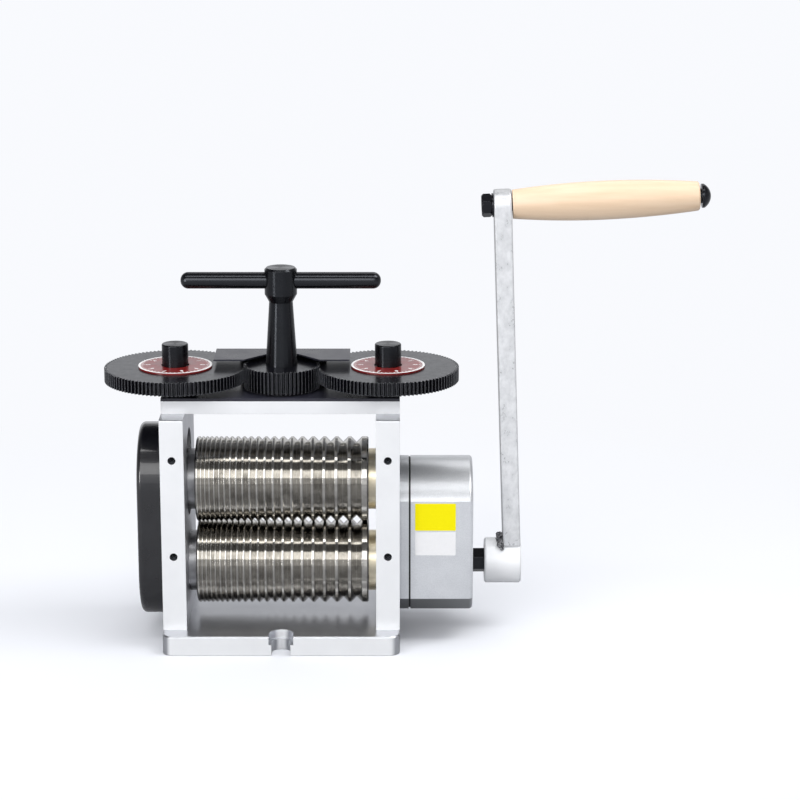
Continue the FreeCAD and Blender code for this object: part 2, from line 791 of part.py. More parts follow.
def make_rolls():
    drive_end = "drive_start + train_width"
    make_roll("lower_roll", [("journal_radius", "drive_start"), ("seat_radius", "drive_start"),
                             ("seat_radius", drive_end), ("0", drive_end)], "roll_axis")
    lower = doc.getObject("lower_roll")
    keyway(lower, drive_end, "train_width", backwards=False)
    right_face = "plate_out - block_side_gap"
    make_roll("upper_roll", [("journal_radius", right_face), ("0", right_face)], "upper_axis")


def make_bearings():
    """Flanged bushes: the lower roll's in the side plates, the upper one's in sliding round blocks."""
    sleeve = [("journal_radius + running_fit", "0"), ("flange_radius", "0"), ("flange_radius", "flange_thick"),
              ("bush_radius", "flange_thick"), ("bush_radius", "flange_thick + plate_thick - block_side_gap"),
              ("journal_radius + running_fit", "flange_thick + plate_thick - block_side_gap")]
    for side, sign in SIDES:
        turn = "%s90" % sign
        inner = "%s(roll_length / 2 + side_play)" % sign
        turned("%s_lower_bush" % side, sleeve, x=inner, z="roll_axis", about_y=turn)
        turned("%s_upper_bush" % side, sleeve, x=inner, z="upper_axis", about_y=turn)
        make_block(side, sign)
        turned("%s_pressure_pad" % side,
               [("0", "0"), ("pad_radius", "0"), ("pad_radius", "pad_thick"), ("0", "pad_thick")],
               x="%sscrew_x" % sign, z="upper_axis + block_seat")


def make_block(side, sign):
    """Round bearing block with a flat on top for the screw's pad and one below for the lift spring."""
    body = new_body("%s_bearing_block" % side)
    disc = new_sketch(body, "disc", "YZ_Plane")
    circle(disc, "0", "0", "block_radius")
    pad(body, disc, "plate_thick - 2 * block_side_gap", both_ways=True)
    flats = new_sketch(body, "flats", "YZ_Plane")
    rectangle(flats, "-block_radius", "block_seat", "block_radius", "block_radius + overshoot")
    rectangle(flats, "-block_radius", "-(block_radius + overshoot)", "block_radius", "-block_seat")
    pocket(body, flats)
    holes(body, [("0", "0")], "bush_radius", role="YZ_Plane")
    place(body, x="%sscrew_x" % sign, z="upper_axis")


def make_springs():
    """Two coil springs of square wire that hold the upper blocks up against the screws."""
    foot = number("slot_bottom - spring_bore_depth")
    tall = number("upper_axis - block_seat") - foot
    wire, radius, turns = number("spring_wire"), number("spring_radius"), number("spring_turns")
    rise = tall - wire
    helix = Part.makeHelix(rise / turns, rise, radius)
    start = Vector(radius, 0, 0)
    half = wire / 2
    square = ((-half, -half), (half, -half), (half, half), (-half, half))
    corners = [start + Vector(x, 0, z) for x, z in square]
    section = Part.makePolygon(corners + corners[:1])
    coil = helix.makePipeShell([section], True, True)
    coil.translate(Vector(0, 0, half))
    pair = []
    for sign in (-1, 1):
        copy = coil.copy()
        copy.translate(Vector(sign * number("screw_x"), 0, foot))
        pair.append(copy)
    springs = doc.addObject("Part::Feature", "lift_springs")
    springs.Label = "lift_springs"
    springs.Shape = Part.makeCompound(pair)


# ---------------------------------------------------------------- adjusting screws, gears and tee handle

def make_adjusters():
    for side, sign in SIDES:
        middle = "%sscrew_x" % sign
        make_screw(side, middle)
        make_adjusting_gear(side, middle)
        bore = "screw_head_radius + hole_clear"
        turned("%s_dial" % side, [(bore, "0"), ("dial_radius", "0"), ("dial_radius", "dial_thick"),
                                  (bore, "dial_thick")], x=middle, z="gear_top")
        turned("%s_gear_spacer" % side, [("screw_head_radius + running_fit", "0"), ("spacer_radius", "0"),
                                         ("spacer_radius", "gear_lift"),
                                         ("screw_head_radius + running_fit", "gear_lift")], x=middle, z="deck")


def make_screw(side, middle):
    """Adjusting screw: thread below, a thick head above with two flats that slide in the gear."""
    low, high = "0", "screw_top - pad_top"
    shoulder = "deck + screw_shoulder - pad_top"
    body = turned("%s_adjusting_screw" % side,
                  [("0", low), ("screw_radius", low), ("screw_radius", shoulder),
                   ("screw_head_radius", shoulder),
                   ("screw_head_radius", "%s - screw_round" % high),
                   ("screw_head_radius - screw_round", high), ("0", high)],
                  {4: "screw_round"}, x=middle, z="pad_top")
    flats = new_sketch(body, "flats", height="gear_top + flat_over - pad_top")
    reach = "(screw_head_radius + overshoot)"
    rectangle(flats, "screw_flat", "-%s" % reach, reach, reach)
    rectangle(flats, "-%s" % reach, "-%s" % reach, "-screw_flat", reach)
    pocket(body, flats, "gear_top + flat_over - deck - screw_shoulder")


def make_adjusting_gear(side, middle):
    """Large fine-toothed gear, bored to slide on the flats of its screw."""
    body = new_body("%s_adjusting_gear" % side)
    disc = new_sketch(body, "disc")
    circle(disc, "0", "0", "gear_module * (big_teeth / 2 + gear_addendum_share)")
    pad(body, disc, "gear_width")
    toothed(body, "big_teeth", half_step=side == "right")
    bore = new_sketch(body, "bore")
    round_part, flat_part = "screw_head_radius + running_fit", "screw_flat + running_fit"
    reach = "sqrt((%s) ^ 2 - (%s) ^ 2)" % (round_part, flat_part)
    outline(bore, [(flat_part, "-%s" % reach), (flat_part, reach),
                   ("-(%s)" % flat_part, reach), ("-(%s)" % flat_part, "-%s" % reach)],
            {1: round_part, 3: round_part})
    pocket(body, bore)
    place(body, x=middle, z="gear_low")


def make_tee_handle():
    """Centre pinion on its fixed pivot, with the tapered column and the tee bar above it."""
    body = new_body("centre_pinion")
    disc = new_sketch(body, "disc")
    circle(disc, "0", "0", "gear_module * (small_teeth / 2 + gear_addendum_share)")
    pad(body, disc, "pinion_width")
    toothed(body, "small_teeth")
    holes(body, [("0", "0")], "pivot_radius + running_fit")
    holes(body, [("0", "0")], "spigot_radius", "spigot_depth", height="pinion_width")
    place(body, z="pinion_low")
    pivot_low = "frame_top - deck"
    turned("centre_pivot", [("0", pivot_low), ("pivot_radius", pivot_low), ("pivot_radius", "0"),
                            ("pivot_collar", "0"), ("pivot_collar", "pinion_gap"),
                            ("pivot_radius", "pinion_gap"), ("pivot_radius", "pivot_height"),
                            ("0", "pivot_height")], z="deck")
    column = turned("tee_column",
                    [("0", "-spigot_depth"), ("spigot_radius", "-spigot_depth"), ("spigot_radius", "0"),
                     ("column_foot_radius", "0"), ("column_neck_radius", "column_neck_height"),
                     ("column_head_radius", "column_cone_height"),
                     ("column_head_radius", "column_height - column_edge"),
                     ("column_head_radius - column_edge", "column_height"), ("0", "column_height")],
                    z="pinion_top")
    holes(column, [("0", "column_height - bar_drop")], "bar_radius", role="YZ_Plane")
    half = "bar_length / 2"
    turned("tee_bar", [("0", "-%s" % half), ("bar_radius - bar_end", "-%s" % half),
                       ("bar_radius", "-(%s - bar_end)" % half), ("bar_radius", "%s - bar_end" % half),
                       ("bar_radius - bar_end", half), ("0", half)],
           {1: "bar_end", 3: "bar_end"}, z="bar_axis", about_y="90")


# ---------------------------------------------------------------- left cover and coupling gears

def stadium(radius):
    """Upright outline with round ends near the two roll axes."""
    low, high = "roll_axis + cover_low_rise", "upper_axis + cover_rise"
    corners = [(radius, low), (radius, high), ("-(%s)" % radius, high), ("-(%s)" % radius, low)]
    return corners, {1: radius, 3: radius}


def make_left_cover():
    """Shell over the coupling gears, with a rim against the side plate and two screw posts inside."""
    body = new_body("left_gear_cover")
    shell = new_sketch(body, "shell", "YZ_Plane")
    outline(shell, *stadium("cover_radius"))
    pad(body, shell, "cover_depth", backwards=True)
    soften(body, "Fillet", "cover_round", lambda edge: flat_at(edge, 0, -number("cover_depth")))
    rim = new_sketch(body, "rim", "YZ_Plane")
    outline(rim, *stadium("cover_radius + cover_rim"))
    pad(body, rim, "cover_rim_width", backwards=True)
    room = new_sketch(body, "room", "YZ_Plane")
    outline(room, *stadium("cover_radius - cover_wall"))
    pocket(body, room, "cover_depth - cover_wall")
    ceiling = number("cover_wall - cover_depth")
    soften(body, "Fillet", "cover_round - cover_wall", lambda edge: flat_at(edge, 0, ceiling))
    posts = new_sketch(body, "posts", "YZ_Plane")
    for y, z in COVER_SPOTS:
        circle(posts, y, z, "cover_post_radius")
    pad(body, posts, "cover_depth - cover_wall / 2", backwards=True)
    holes(body, COVER_SPOTS, "small_screw_radius", role="YZ_Plane")
    sink = "small_screw_head_height + sink_depth"
    holes(body, COVER_SPOTS, "small_screw_head + sink_clear", sink, "YZ_Plane", "-cover_depth", True)
    place(body, x="-plate_out")
    seat = "cover_depth - small_screw_head_height - sink_depth"
    screws("left_cover_screws", COVER_SPOTS, "small_screw_radius", "%s + plate_thick / 2" % seat,
           "small_screw_head", "small_screw_head_height", "YZ_Plane", flip=True, x="-(plate_out + %s)" % seat)


def make_coupling_gears():
    """Long-toothed gears that keep both rolls turning together while the upper one rises and falls."""
    for name, height in (("lower", "roll_axis"), ("upper", "upper_axis")):
        involute_gear("%s_coupling_gear" % name, "coupling_teeth", "coupling_module", "coupling_addendum",
                      "coupling_dedendum", "coupling_backlash", "coupling_width", "seat_radius", keyed=True,
                      half_step=name == "upper", x="-roll_left_end", z=height, about_y="90")
        make_key("%s_coupling_key" % name, "coupling_width", "-roll_left_end", height)
        turned("%s_gear_screw" % name,
               [("0", "-end_screw_length"), ("frame_screw_radius", "-end_screw_length"),
                ("frame_screw_radius", "0"),
                ("end_flange", "0"), ("end_flange", "washer_thick"), ("frame_screw_head", "washer_thick"),
                ("frame_screw_head", "washer_thick + end_head"), ("0", "washer_thick + end_head")],
               x="-roll_left_end", z=height, about_y="-90")


# ---------------------------------------------------------------- gearbox

def box_outline(inset):
    """Gearbox profile: bevelled foot, upright sides and an arched top over the lay gear."""
    half = "box_half_width - %s" % inset
    foot = "box_bottom + %s" % inset
    bevel = "(box_bevel - (2 - sqrt(2)) * %s)" % inset
    arch = "box_arch - %s" % inset
    shoulder = "lay_axis - box_arch_drop + sqrt((%s) ^ 2 - (%s) ^ 2)" % (arch, half)
    corners = [("-(%s - %s)" % (half, bevel), foot), ("%s - %s" % (half, bevel), foot),
               (half, "%s + %s" % (foot, bevel)), (half, shoulder),
               ("-(%s)" % half, shoulder), ("-(%s)" % half, "%s + %s" % (foot, bevel))]
    return corners, {3: arch}


def make_gearbox():
    """Mounting plate, gasket and cast cover of the back gear, held by four long screws."""
    plate = new_body("gearbox_plate")
    face = new_sketch(plate, "face", "YZ_Plane")
    outline(face, *box_outline("0"))
    pad(plate, face, "box_plate_thick")
    holes(plate, [("0", "roll_axis")], "journal_radius + box_journal_gap", role="YZ_Plane")
    holes(plate, [("0", "lay_axis")], "lay_radius + running_fit", "lay_seat", "YZ_Plane", "box_plate_thick")
    holes(plate, BOX_SPOTS, "small_screw_radius", role="YZ_Plane")
    place(plate, x="plate_out")

    gasket = new_body("gearbox_gasket")
    ring = new_sketch(gasket, "ring", "YZ_Plane")
    outline(ring, *box_outline("gasket_inset"))
    outline(ring, *box_outline("box_wall"))
    pad(gasket, ring, "gasket_thick")
    holes(gasket, BOX_SPOTS, "small_screw_radius", role="YZ_Plane")
    place(gasket, x="box_face")

    cover = new_body("gearbox_cover")
    block = new_sketch(cover, "block", "YZ_Plane")
    outline(block, *box_outline("0"))
    pad(cover, block, "box_depth")
    soften(cover, "Fillet", "box_round", lambda edge: flat_at(edge, 0, number("box_depth")))
    room = new_sketch(cover, "room", "YZ_Plane")
    outline(room, *box_outline("box_wall"))
    pocket(cover, room, "box_depth - box_wall", backwards=True)
    posts = new_sketch(cover, "posts", "YZ_Plane")
    for y, z in BOX_SPOTS:
        circle(posts, y, z, "box_screw_post")
    pad(cover, posts, "box_depth - box_wall / 2")
    bosses = new_sketch(cover, "bosses", "YZ_Plane", "box_depth - box_wall - boss_length")
    circle(bosses, "0", "roll_axis", "crank_boss_radius")
    circle(bosses, "0", "lay_axis", "lay_boss_radius")
    pad(cover, bosses, "boss_length + box_wall / 2")
    holes(cover, [("0", "roll_axis")], "crank_shaft_radius + crank_bush_wall", role="YZ_Plane")
    holes(cover, [("0", "lay_axis")], "lay_radius + running_fit", "boss_length", "YZ_Plane",
          "box_depth - box_wall - boss_length", True)
    holes(cover, BOX_SPOTS, "small_screw_radius", role="YZ_Plane")
    sink = "small_screw_head_height + sink_depth"
    holes(cover, BOX_SPOTS, "small_screw_head + sink_clear", sink, "YZ_Plane", "box_depth")
    place(cover, x="box_start")
    seat = "box_end - small_screw_head_height - sink_depth"
    screws("gearbox_screws", BOX_SPOTS, "small_screw_radius", "%s - plate_out + plate_thick / 2" % seat,
           "small_screw_head", "small_screw_head_height", "YZ_Plane", x=seat)


def make_train():
    """Back gear: crank pinion to lay gear, lay pinion to the drive gear on the lower roll."""
    train = ("train_module", "train_module", "train_dedendum", "train_backlash", "train_width")
    involute_gear("roll_drive_gear", "drive_teeth", *train, "seat_radius", keyed=True, half_step=True,
                  x="drive_start", z="roll_axis", about_y="90")
    make_key("drive_gear_key", "train_width", "drive_start", "roll_axis")
    involute_gear("lay_pinion", "lay_pinion_teeth", *train, "lay_radius", x="drive_start", z="lay_axis",
                  about_y="90")
    involute_gear("lay_gear", "lay_teeth", *train, "lay_radius", half_step=True, x="lay_start", z="lay_axis",
                  about_y="90")
    low, high = "box_face - lay_seat + lay_end_gap", "box_end - box_wall - lay_end_gap"
    turned("lay_shaft", [("0", "0"), ("lay_radius", "0"), ("lay_radius", "%s - (%s)" % (high, low)),
                         ("0", "%s - (%s)" % (high, low))], x=low, z="lay_axis", about_y="90")


# ---------------------------------------------------------------- crank and handle

def make_crank_shaft():
    """Crank shaft with its pinion cut on one end and a hexagon on the other, in a bush in the cover."""
    pinion_start = number("lay_start - lay_end_gap")
    round_end, hex_end = number("box_end + hex_relief"), number("hub_start + hub_length - hex_short")
    radius = number("crank_shaft_radius")
    pinion_end = number("lay_start + train_width + lay_end_gap")
    module = number("train_module")
    dedendum = number("train_dedendum")
    wire = gear_outline(round(number("crank_teeth")), module, module, dedendum, number("train_backlash"))
    pinion = Part.Face(wire).extrude(Vector(0, 0, pinion_end - pinion_start))
    barrel = Part.makeCylinder(radius, round_end - pinion_end, Vector(0, 0, pinion_end - pinion_start))
    corner = number("hex_corner")
    corners = [Vector(corner * math.cos(math.radians(60 * step)), corner * math.sin(math.radians(60 * step)),
                      round_end - pinion_start) for step in range(7)]
    hexagonal = Part.Face(Part.makePolygon(corners)).extrude(Vector(0, 0, hex_end - round_end))
    shaft = doc.addObject("Part::Feature", "crank_shaft")
    shaft.Label = "crank_shaft"
    shaft.Shape = pinion.fuse(barrel).fuse(hexagonal).removeSplitter()
    place(shaft, x="lay_start - lay_end_gap", z="roll_axis", about_y="90")
    turned("crank_bush", [("crank_shaft_radius + running_fit", "0"),
                          ("crank_shaft_radius + crank_bush_wall", "0"),
                          ("crank_shaft_radius + crank_bush_wall", "crank_bush_length"),
                          ("crank_shaft_radius + running_fit", "crank_bush_length")],
           x="box_end - crank_bush_length", z="roll_axis", about_y="90")


def make_crank():
    """Hub on the shaft's hexagon, flat arm welded to it and leaning a little towards the mill."""
    hub = turned("crank_hub", [("0", "0"), ("hub_radius - hub_edge", "0"), ("hub_radius", "hub_edge"),
                               ("hub_radius", "hub_length - hub_edge"), ("hub_radius - hub_edge", "hub_length"),
                               ("0", "hub_length")], x="hub_start", z="roll_axis", about_y="90")
    socket = new_sketch(hub, "socket")
    corners = [("(hex_corner + hex_fit) * cos(%d)" % turn, "(hex_corner + hex_fit) * sin(%d)" % turn)
               for turn in range(0, 360, 60)]
    corners[0], corners[3] = ("hex_corner + hex_fit", "0"), ("-(hex_corner + hex_fit)", "0")
    outline(socket, corners)
    pocket(hub, socket)
    holes(hub, [("0", "hub_screw_x")], "frame_screw_radius", "hub_radius", "XZ_Plane", "-hub_radius", True)

    grub = new_body("crank_set_screw")
    barrel = new_sketch(grub, "barrel", "XZ_Plane", "-(hub_radius - hub_screw_sunk)")
    circle(barrel, "0", "0", "frame_screw_radius")
    pad(grub, barrel, "hub_radius - hub_screw_sunk - hex_corner * cos(30) - hex_fit")
    key = new_sketch(grub, "key", "XZ_Plane", "-(hub_radius - hub_screw_sunk)")
    hexagon(key, "0", "0", "frame_screw_radius / 2")
    pocket(grub, key, "frame_screw_radius / 2", backwards=True)
    place(grub, x="hub_start + hub_screw_x", z="roll_axis")

    arm = new_body("crank_arm")
    bar = new_sketch(arm, "bar", "YZ_Plane")
    half = "arm_width / 2"
    foot = "sqrt(hub_radius ^ 2 - (arm_width / 2) ^ 2) + weld_gap"
    outline(bar, [("-%s" % half, foot), (half, foot), (half, "arm_length"), ("-%s" % half, "arm_length")],
            {0: "-hub_radius", 2: half})
    pad(arm, bar, "arm_thick", both_ways=True)
    holes(arm, [("0", "arm_length")], "bolt_radius + tilt_clear", role="YZ_Plane")
    side = number(half)
    soften(arm, "Fillet", "arm_edge", lambda edge: flat_at(edge, 1, side) or flat_at(edge, 1, -side)
           or is_round(edge, side))
    place(arm, x="arm_x", z="roll_axis", about_y="-arm_lean")

    weld = new_body("crank_weld")
    bead = new_sketch(weld, "bead", "XZ_Plane")
    face = ("arm_x - hub_start - arm_thick / 2 / cos(arm_lean)"
            " - (hub_radius + weld_size) * tan(arm_lean)")
    outline(bead, [("-(hub_radius + weld_size)", face), ("-hub_radius", "%s - weld_size" % face),
                   ("-hub_radius", face)])
    spin = weld.newObject("PartDesign::Revolution", "run")
    spin.Profile = bead
    spin.ReferenceAxis = (bead, ["V_Axis"])
    spin.Angle = number("weld_sweep")
    spin.Midplane = True
    place(weld, x="hub_start", z="roll_axis", about_y="90")


def is_round(edge, radius):
    """True for an arc or circle of the radius."""
    curve = edge.Curve
    return curve.TypeId == "Part::GeomCircle" and abs(curve.Radius - radius) < 1e-6


def make_handle():
    """Wooden grip that turns on a long bolt, nutted behind the arm."""
    where = dict(x="grip_x", z="grip_z", about_y="90 - grip_tilt")
    rise = "(grip_belly * grip_length)"
    fall = "(grip_length - grip_belly * grip_length - grip_round)"
    rise_radius = "(%s ^ 2 + grip_swell ^ 2) / (2 * grip_swell)" % rise
    fall_radius = "(%s ^ 2 + grip_fall ^ 2) / (2 * grip_fall)" % fall
    turned("handle_grip",
           [("bolt_radius + running_fit", "grip_low"), ("grip_arm_radius", "grip_low"),
            ("grip_mid_radius", "grip_low + %s" % rise),
            ("grip_end_radius", "grip_low + grip_length - grip_round"),
            ("grip_end_radius - grip_round", "grip_low + grip_length"),
            ("bolt_radius + running_fit", "grip_low + grip_length")],
           {1: rise_radius, 2: fall_radius, 3: "grip_round"}, **where)
    neck = "grip_low + grip_length + grip_clear"
    head = "grip_low + grip_length + bolt_neck"
    nut_far = "arm_thick / 2 + tilt_clear + washer_thick + nut_height"
    dome = "(bolt_head_height - bolt_head_side)"
    dome_radius = "(%s ^ 2 + bolt_head_radius ^ 2) / (2 * %s)" % (dome, dome)
    nut_end = "-(%s - bolt_short_of_nut)" % nut_far
    turned("handle_bolt",
           [("0", nut_end), ("bolt_radius", nut_end), ("bolt_radius", neck),
            ("bolt_neck_radius", neck), ("bolt_neck_radius", head), ("bolt_head_radius", head),
            ("bolt_head_radius", "%s + bolt_head_side" % head), ("0", "%s + bolt_head_height" % head)],
           {6: dome_radius}, **where)
    nut = new_body("handle_nut")
    hexagonal = new_sketch(nut, "hexagonal", height="-(%s)" % nut_far)
    across = "(nut_flats / sqrt(3))"
    outline(hexagonal, [(across, "0"), ("%s / 2" % across, "%s * sin(60)" % across),
                        ("-%s / 2" % across, "%s * sin(60)" % across), ("-%s" % across, "0"),
                        ("-%s / 2" % across, "-%s * sin(60)" % across),
                        ("%s / 2" % across, "-%s * sin(60)" % across)])
    pad(nut, hexagonal, "nut_height")
    holes(nut, [("0", "0")], "bolt_radius")
    place(nut, **where)
    seat = "arm_thick / 2 + tilt_clear"
    turned("handle_washer", [("bolt_radius", "-(%s + washer_thick)" % seat),
                             ("washer_radius", "-(%s + washer_thick)" % seat),
                             ("washer_radius", "-(%s)" % seat), ("bolt_radius", "-(%s)" % seat)], **where)


# ---------------------------------------------------------------- build, check and write

def build():
    make_base()
    make_side_plates()
    make_set_screws()
    make_top()
    make_guard()
    make_rolls()
    make_bearings()
    make_springs()
    make_adjusters()
    make_tee_handle()
    make_left_cover()
    make_coupling_gears()
    make_gearbox()
    make_train()
    make_crank_shaft()
    make_crank()
    make_handle()
    doc.recompute()


def sub_parts():
    """Every finished piece: the bodies and the plain features, not the sketches and steps inside them."""
    return [item for item in doc.Objects if item.TypeId in ("PartDesign::Body", "Part::Feature")]


def check():
    """Stop before anything is written if a step failed or a piece has no sound shape."""
    for item in doc.Objects:
        if "Invalid" in item.State or "Error" in item.State:
            raise RuntimeError("%s (%s) failed: %s" % (item.Name, item.TypeId, item.State))
    for item in sub_parts():
        if item.Shape.isNull() or not item.Shape.isValid():
            raise RuntimeError("%s has no sound shape" % item.Label)


def write():
    os.makedirs("parts", exist_ok=True)
    for item in sub_parts():
        item.Shape.exportStep("parts/%s.step" % item.Label)


build()
check()
write()
print("%d pieces" % len(sub_parts()))
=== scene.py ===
import math

import bpy
import bmesh
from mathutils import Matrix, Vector, noise


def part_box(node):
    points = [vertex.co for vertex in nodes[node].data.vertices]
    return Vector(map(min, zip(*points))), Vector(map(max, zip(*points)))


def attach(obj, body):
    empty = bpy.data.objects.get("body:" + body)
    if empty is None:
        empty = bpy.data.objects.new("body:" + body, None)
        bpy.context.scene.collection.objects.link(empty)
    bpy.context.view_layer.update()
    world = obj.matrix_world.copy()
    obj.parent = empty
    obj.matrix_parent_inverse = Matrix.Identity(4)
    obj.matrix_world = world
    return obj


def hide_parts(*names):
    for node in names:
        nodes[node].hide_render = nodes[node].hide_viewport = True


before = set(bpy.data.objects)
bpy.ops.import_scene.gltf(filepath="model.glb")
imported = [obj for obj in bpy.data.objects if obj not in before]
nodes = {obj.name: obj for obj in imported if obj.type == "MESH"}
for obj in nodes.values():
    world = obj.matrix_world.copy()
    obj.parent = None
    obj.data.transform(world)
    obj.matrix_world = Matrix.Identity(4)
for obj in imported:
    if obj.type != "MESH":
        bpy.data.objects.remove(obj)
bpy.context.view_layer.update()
bpy.ops.object.select_all(action="DESELECT")


# ---------------------------------------------------------------- aluminium frame
# Base, two cheeks and the bridge over them are thick aluminium bar, face milled and then lightly blasted,
# so they are pale and satin with faint cutter lines and a thin bright break on every edge. Faces turned
# away from the front and back are coloured darker and more metallic, painted shade for their darker look.

def shader(name):
    """A new material with its nodes, links and principled shader."""
    material = bpy.data.materials.new(name)
    material.use_nodes = True
    tree = material.node_tree
    return material, tree.nodes, tree.links, tree.nodes["Principled BSDF"]


BLACK = (0.0, 0.0, 0.0)
WHITE = (1.0, 1.0, 1.0)
EVEN = (1.0, 1.0, 1.0)
ALONG_X = (0.04, 1.0, 1.0)
ALONG_Z = (1.0, 1.0, 0.04)


def stretched_noise(tree_nodes, links, scale, stretch=EVEN, detail=4.0, roughness=0.6):
    """Noise over the piece's own coordinates, drawn out where the stretch is small."""
    place = tree_nodes.new("ShaderNodeTexCoord")
    mapping = tree_nodes.new("ShaderNodeMapping")
    mapping.inputs["Scale"].default_value = stretch
    pattern = tree_nodes.new("ShaderNodeTexNoise")
    pattern.inputs["Scale"].default_value = scale
    pattern.inputs["Detail"].default_value = detail
    pattern.inputs["Roughness"].default_value = roughness
    links.new(place.outputs["Object"], mapping.inputs["Vector"])
    links.new(mapping.outputs["Vector"], pattern.inputs["Vector"])
    return pattern


def ramp(tree_nodes, links, source, stops):
    """Colours or greys laid along a 0 to 1 value."""
    band = tree_nodes.new("ShaderNodeValToRGB")
    while len(band.color_ramp.elements) < len(stops):
        band.color_ramp.elements.new(0.5)
    for element, (position, colour) in zip(band.color_ramp.elements, stops):
        element.position = position
        element.color = (*colour, 1.0)
    links.new(source, band.inputs["Fac"])
    return band.outputs["Color"]


NOISE_LOW = 0.3
NOISE_HIGH = 0.7


def spread(tree_nodes, links, source, low, high):
    """The middle of a noise, where nearly all of it lies, spread over another range."""
    span = tree_nodes.new("ShaderNodeMapRange")
    span.inputs["From Min"].default_value = NOISE_LOW
    span.inputs["From Max"].default_value = NOISE_HIGH
    span.inputs["To Min"].default_value = low
    span.inputs["To Max"].default_value = high
    links.new(source, span.inputs["Value"])
    return span.outputs["Result"]


def relief(tree_nodes, links, principled, source, depth, strength, edge=0.0):
    """Bump from a height, over edges softened by a small radius."""
    bump = tree_nodes.new("ShaderNodeBump")
    bump.inputs["Distance"].default_value = depth
    bump.inputs["Strength"].default_value = strength
    links.new(source, bump.inputs["Height"])
    if edge:
        bevel = tree_nodes.new("ShaderNodeBevel")
        bevel.samples = 4
        bevel.inputs["Radius"].default_value = edge
        links.new(bevel.outputs["Normal"], bump.inputs["Normal"])
    links.new(bump.outputs["Normal"], principled.inputs["Normal"])


def give(material, *names):
    """Dress CAD nodes in a material."""
    for name in names:
        mesh = nodes[name].data
        mesh.materials.clear()
        mesh.materials.append(material)


BLASTED_DARK = (0.88, 0.89, 0.905)
BLASTED_LIGHT = (0.93, 0.94, 0.955)
BLASTED_METALLIC = 0.25
BLASTED_FROM = 0.97
CUT_PAINTED_SHADE_DARK = (0.56, 0.57, 0.60)
CUT_PAINTED_SHADE_LIGHT = (0.64, 0.65, 0.68)
CUT_METALLIC = 0.97
CUT_UP_TO = 0.80
CLOUD_SCALE = 35.0
CUTTER_LINES = 900.0
FRAME_EDGE_BREAK = 0.0004


def milled_aluminium(name, grain, rough_low, rough_high, depth):
    """Aluminium with cutter lines along the grain, the direction with the smallest number.

    The faces towards the front and back are blasted pale. The others and the edges keep the metallic cut
    of the mill in a darker colour, which is painted shade for their darker look."""
    material, tree_nodes, links, principled = shader(name)
    surface = tree_nodes.new("ShaderNodeNewGeometry")
    facing = tree_nodes.new("ShaderNodeSeparateXYZ")
    links.new(surface.outputs["Normal"], facing.inputs["Vector"])
    fronts = tree_nodes.new("ShaderNodeMath")
    fronts.operation = "ABSOLUTE"
    links.new(facing.outputs["Y"], fronts.inputs[0])
    clouds = stretched_noise(tree_nodes, links, CLOUD_SCALE, detail=3.0)
    blasted = ramp(tree_nodes, links, clouds.outputs["Fac"],
                   [(NOISE_LOW, BLASTED_DARK), (NOISE_HIGH, BLASTED_LIGHT)])
    # painted shade: faces turned away from the front and back take this darker colour
    cut = ramp(tree_nodes, links, clouds.outputs["Fac"], [(NOISE_LOW, CUT_PAINTED_SHADE_DARK), (NOISE_HIGH, CUT_PAINTED_SHADE_LIGHT)])
    tone_with_painted_shade = tree_nodes.new("ShaderNodeMix")
    tone_with_painted_shade.data_type = "RGBA"
    links.new(ramp(tree_nodes, links, fronts.outputs["Value"], [(CUT_UP_TO, BLACK), (BLASTED_FROM, WHITE)]),
              tone_with_painted_shade.inputs["Factor"])
    links.new(cut, tone_with_painted_shade.inputs["A"])
    links.new(blasted, tone_with_painted_shade.inputs["B"])
    links.new(tone_with_painted_shade.outputs["Result"], principled.inputs["Base Color"])
    links.new(ramp(tree_nodes, links, fronts.outputs["Value"],
                   [(CUT_UP_TO, (CUT_METALLIC,) * 3), (BLASTED_FROM, (BLASTED_METALLIC,) * 3)]),
              principled.inputs["Metallic"])
    lines = stretched_noise(tree_nodes, links, CUTTER_LINES, grain, detail=5.0, roughness=0.7)
    links.new(spread(tree_nodes, links, lines.outputs["Fac"], rough_low, rough_high),
              principled.inputs["Roughness"])
    relief(tree_nodes, links, principled, lines.outputs["Fac"], depth, strength=0.25, edge=FRAME_EDGE_BREAK)
    return material


give(milled_aluminium("cheek_aluminium", ALONG_Z, rough_low=0.32, rough_high=0.40, depth=0.000004),
     "left_side_plate", "right_side_plate")
give(milled_aluminium("plate_aluminium", ALONG_X, rough_low=0.28, rough_high=0.31, depth=0.0000005),
     "base_plate", "top_plate")


# ---------------------------------------------------------------- black skin and gear guard
# The bridge carries a thin black sheet, and a second folded sheet covers the meshing teeth. Both are
# semi-gloss enamel, a little orange-peeled.

COAT_ROUGHNESS = 0.07
ROUGHNESS_SWING = 0.05
DUST_SCALE = 60.0
PEEL_SCALE = 700.0
SHEET_EDGE_BREAK = 0.0003


def enamel(name, dark, light, roughness, peel, coat):
    """Black paint with a soft orange peel and faint dust in its colour."""
    material, tree_nodes, links, principled = shader(name)
    principled.inputs["Coat Weight"].default_value = coat
    principled.inputs["Coat Roughness"].default_value = COAT_ROUGHNESS
    dust = stretched_noise(tree_nodes, links, DUST_SCALE, detail=5.0)
    links.new(ramp(tree_nodes, links, dust.outputs["Fac"], [(0.35, dark), (0.7, light)]),
              principled.inputs["Base Color"])
    links.new(spread(tree_nodes, links, dust.outputs["Fac"], roughness - ROUGHNESS_SWING,
                     roughness + ROUGHNESS_SWING), principled.inputs["Roughness"])
    skin = stretched_noise(tree_nodes, links, PEEL_SCALE, detail=2.0)
    relief(tree_nodes, links, principled, skin.outputs["Fac"], peel, strength=0.5, edge=SHEET_EDGE_BREAK)
    return material


give(enamel("sheet_enamel", dark=(0.017, 0.017, 0.026), light=(0.028, 0.028, 0.042), roughness=0.30,
            peel=0.00002, coat=0.0), "top_skin", "gear_guard")


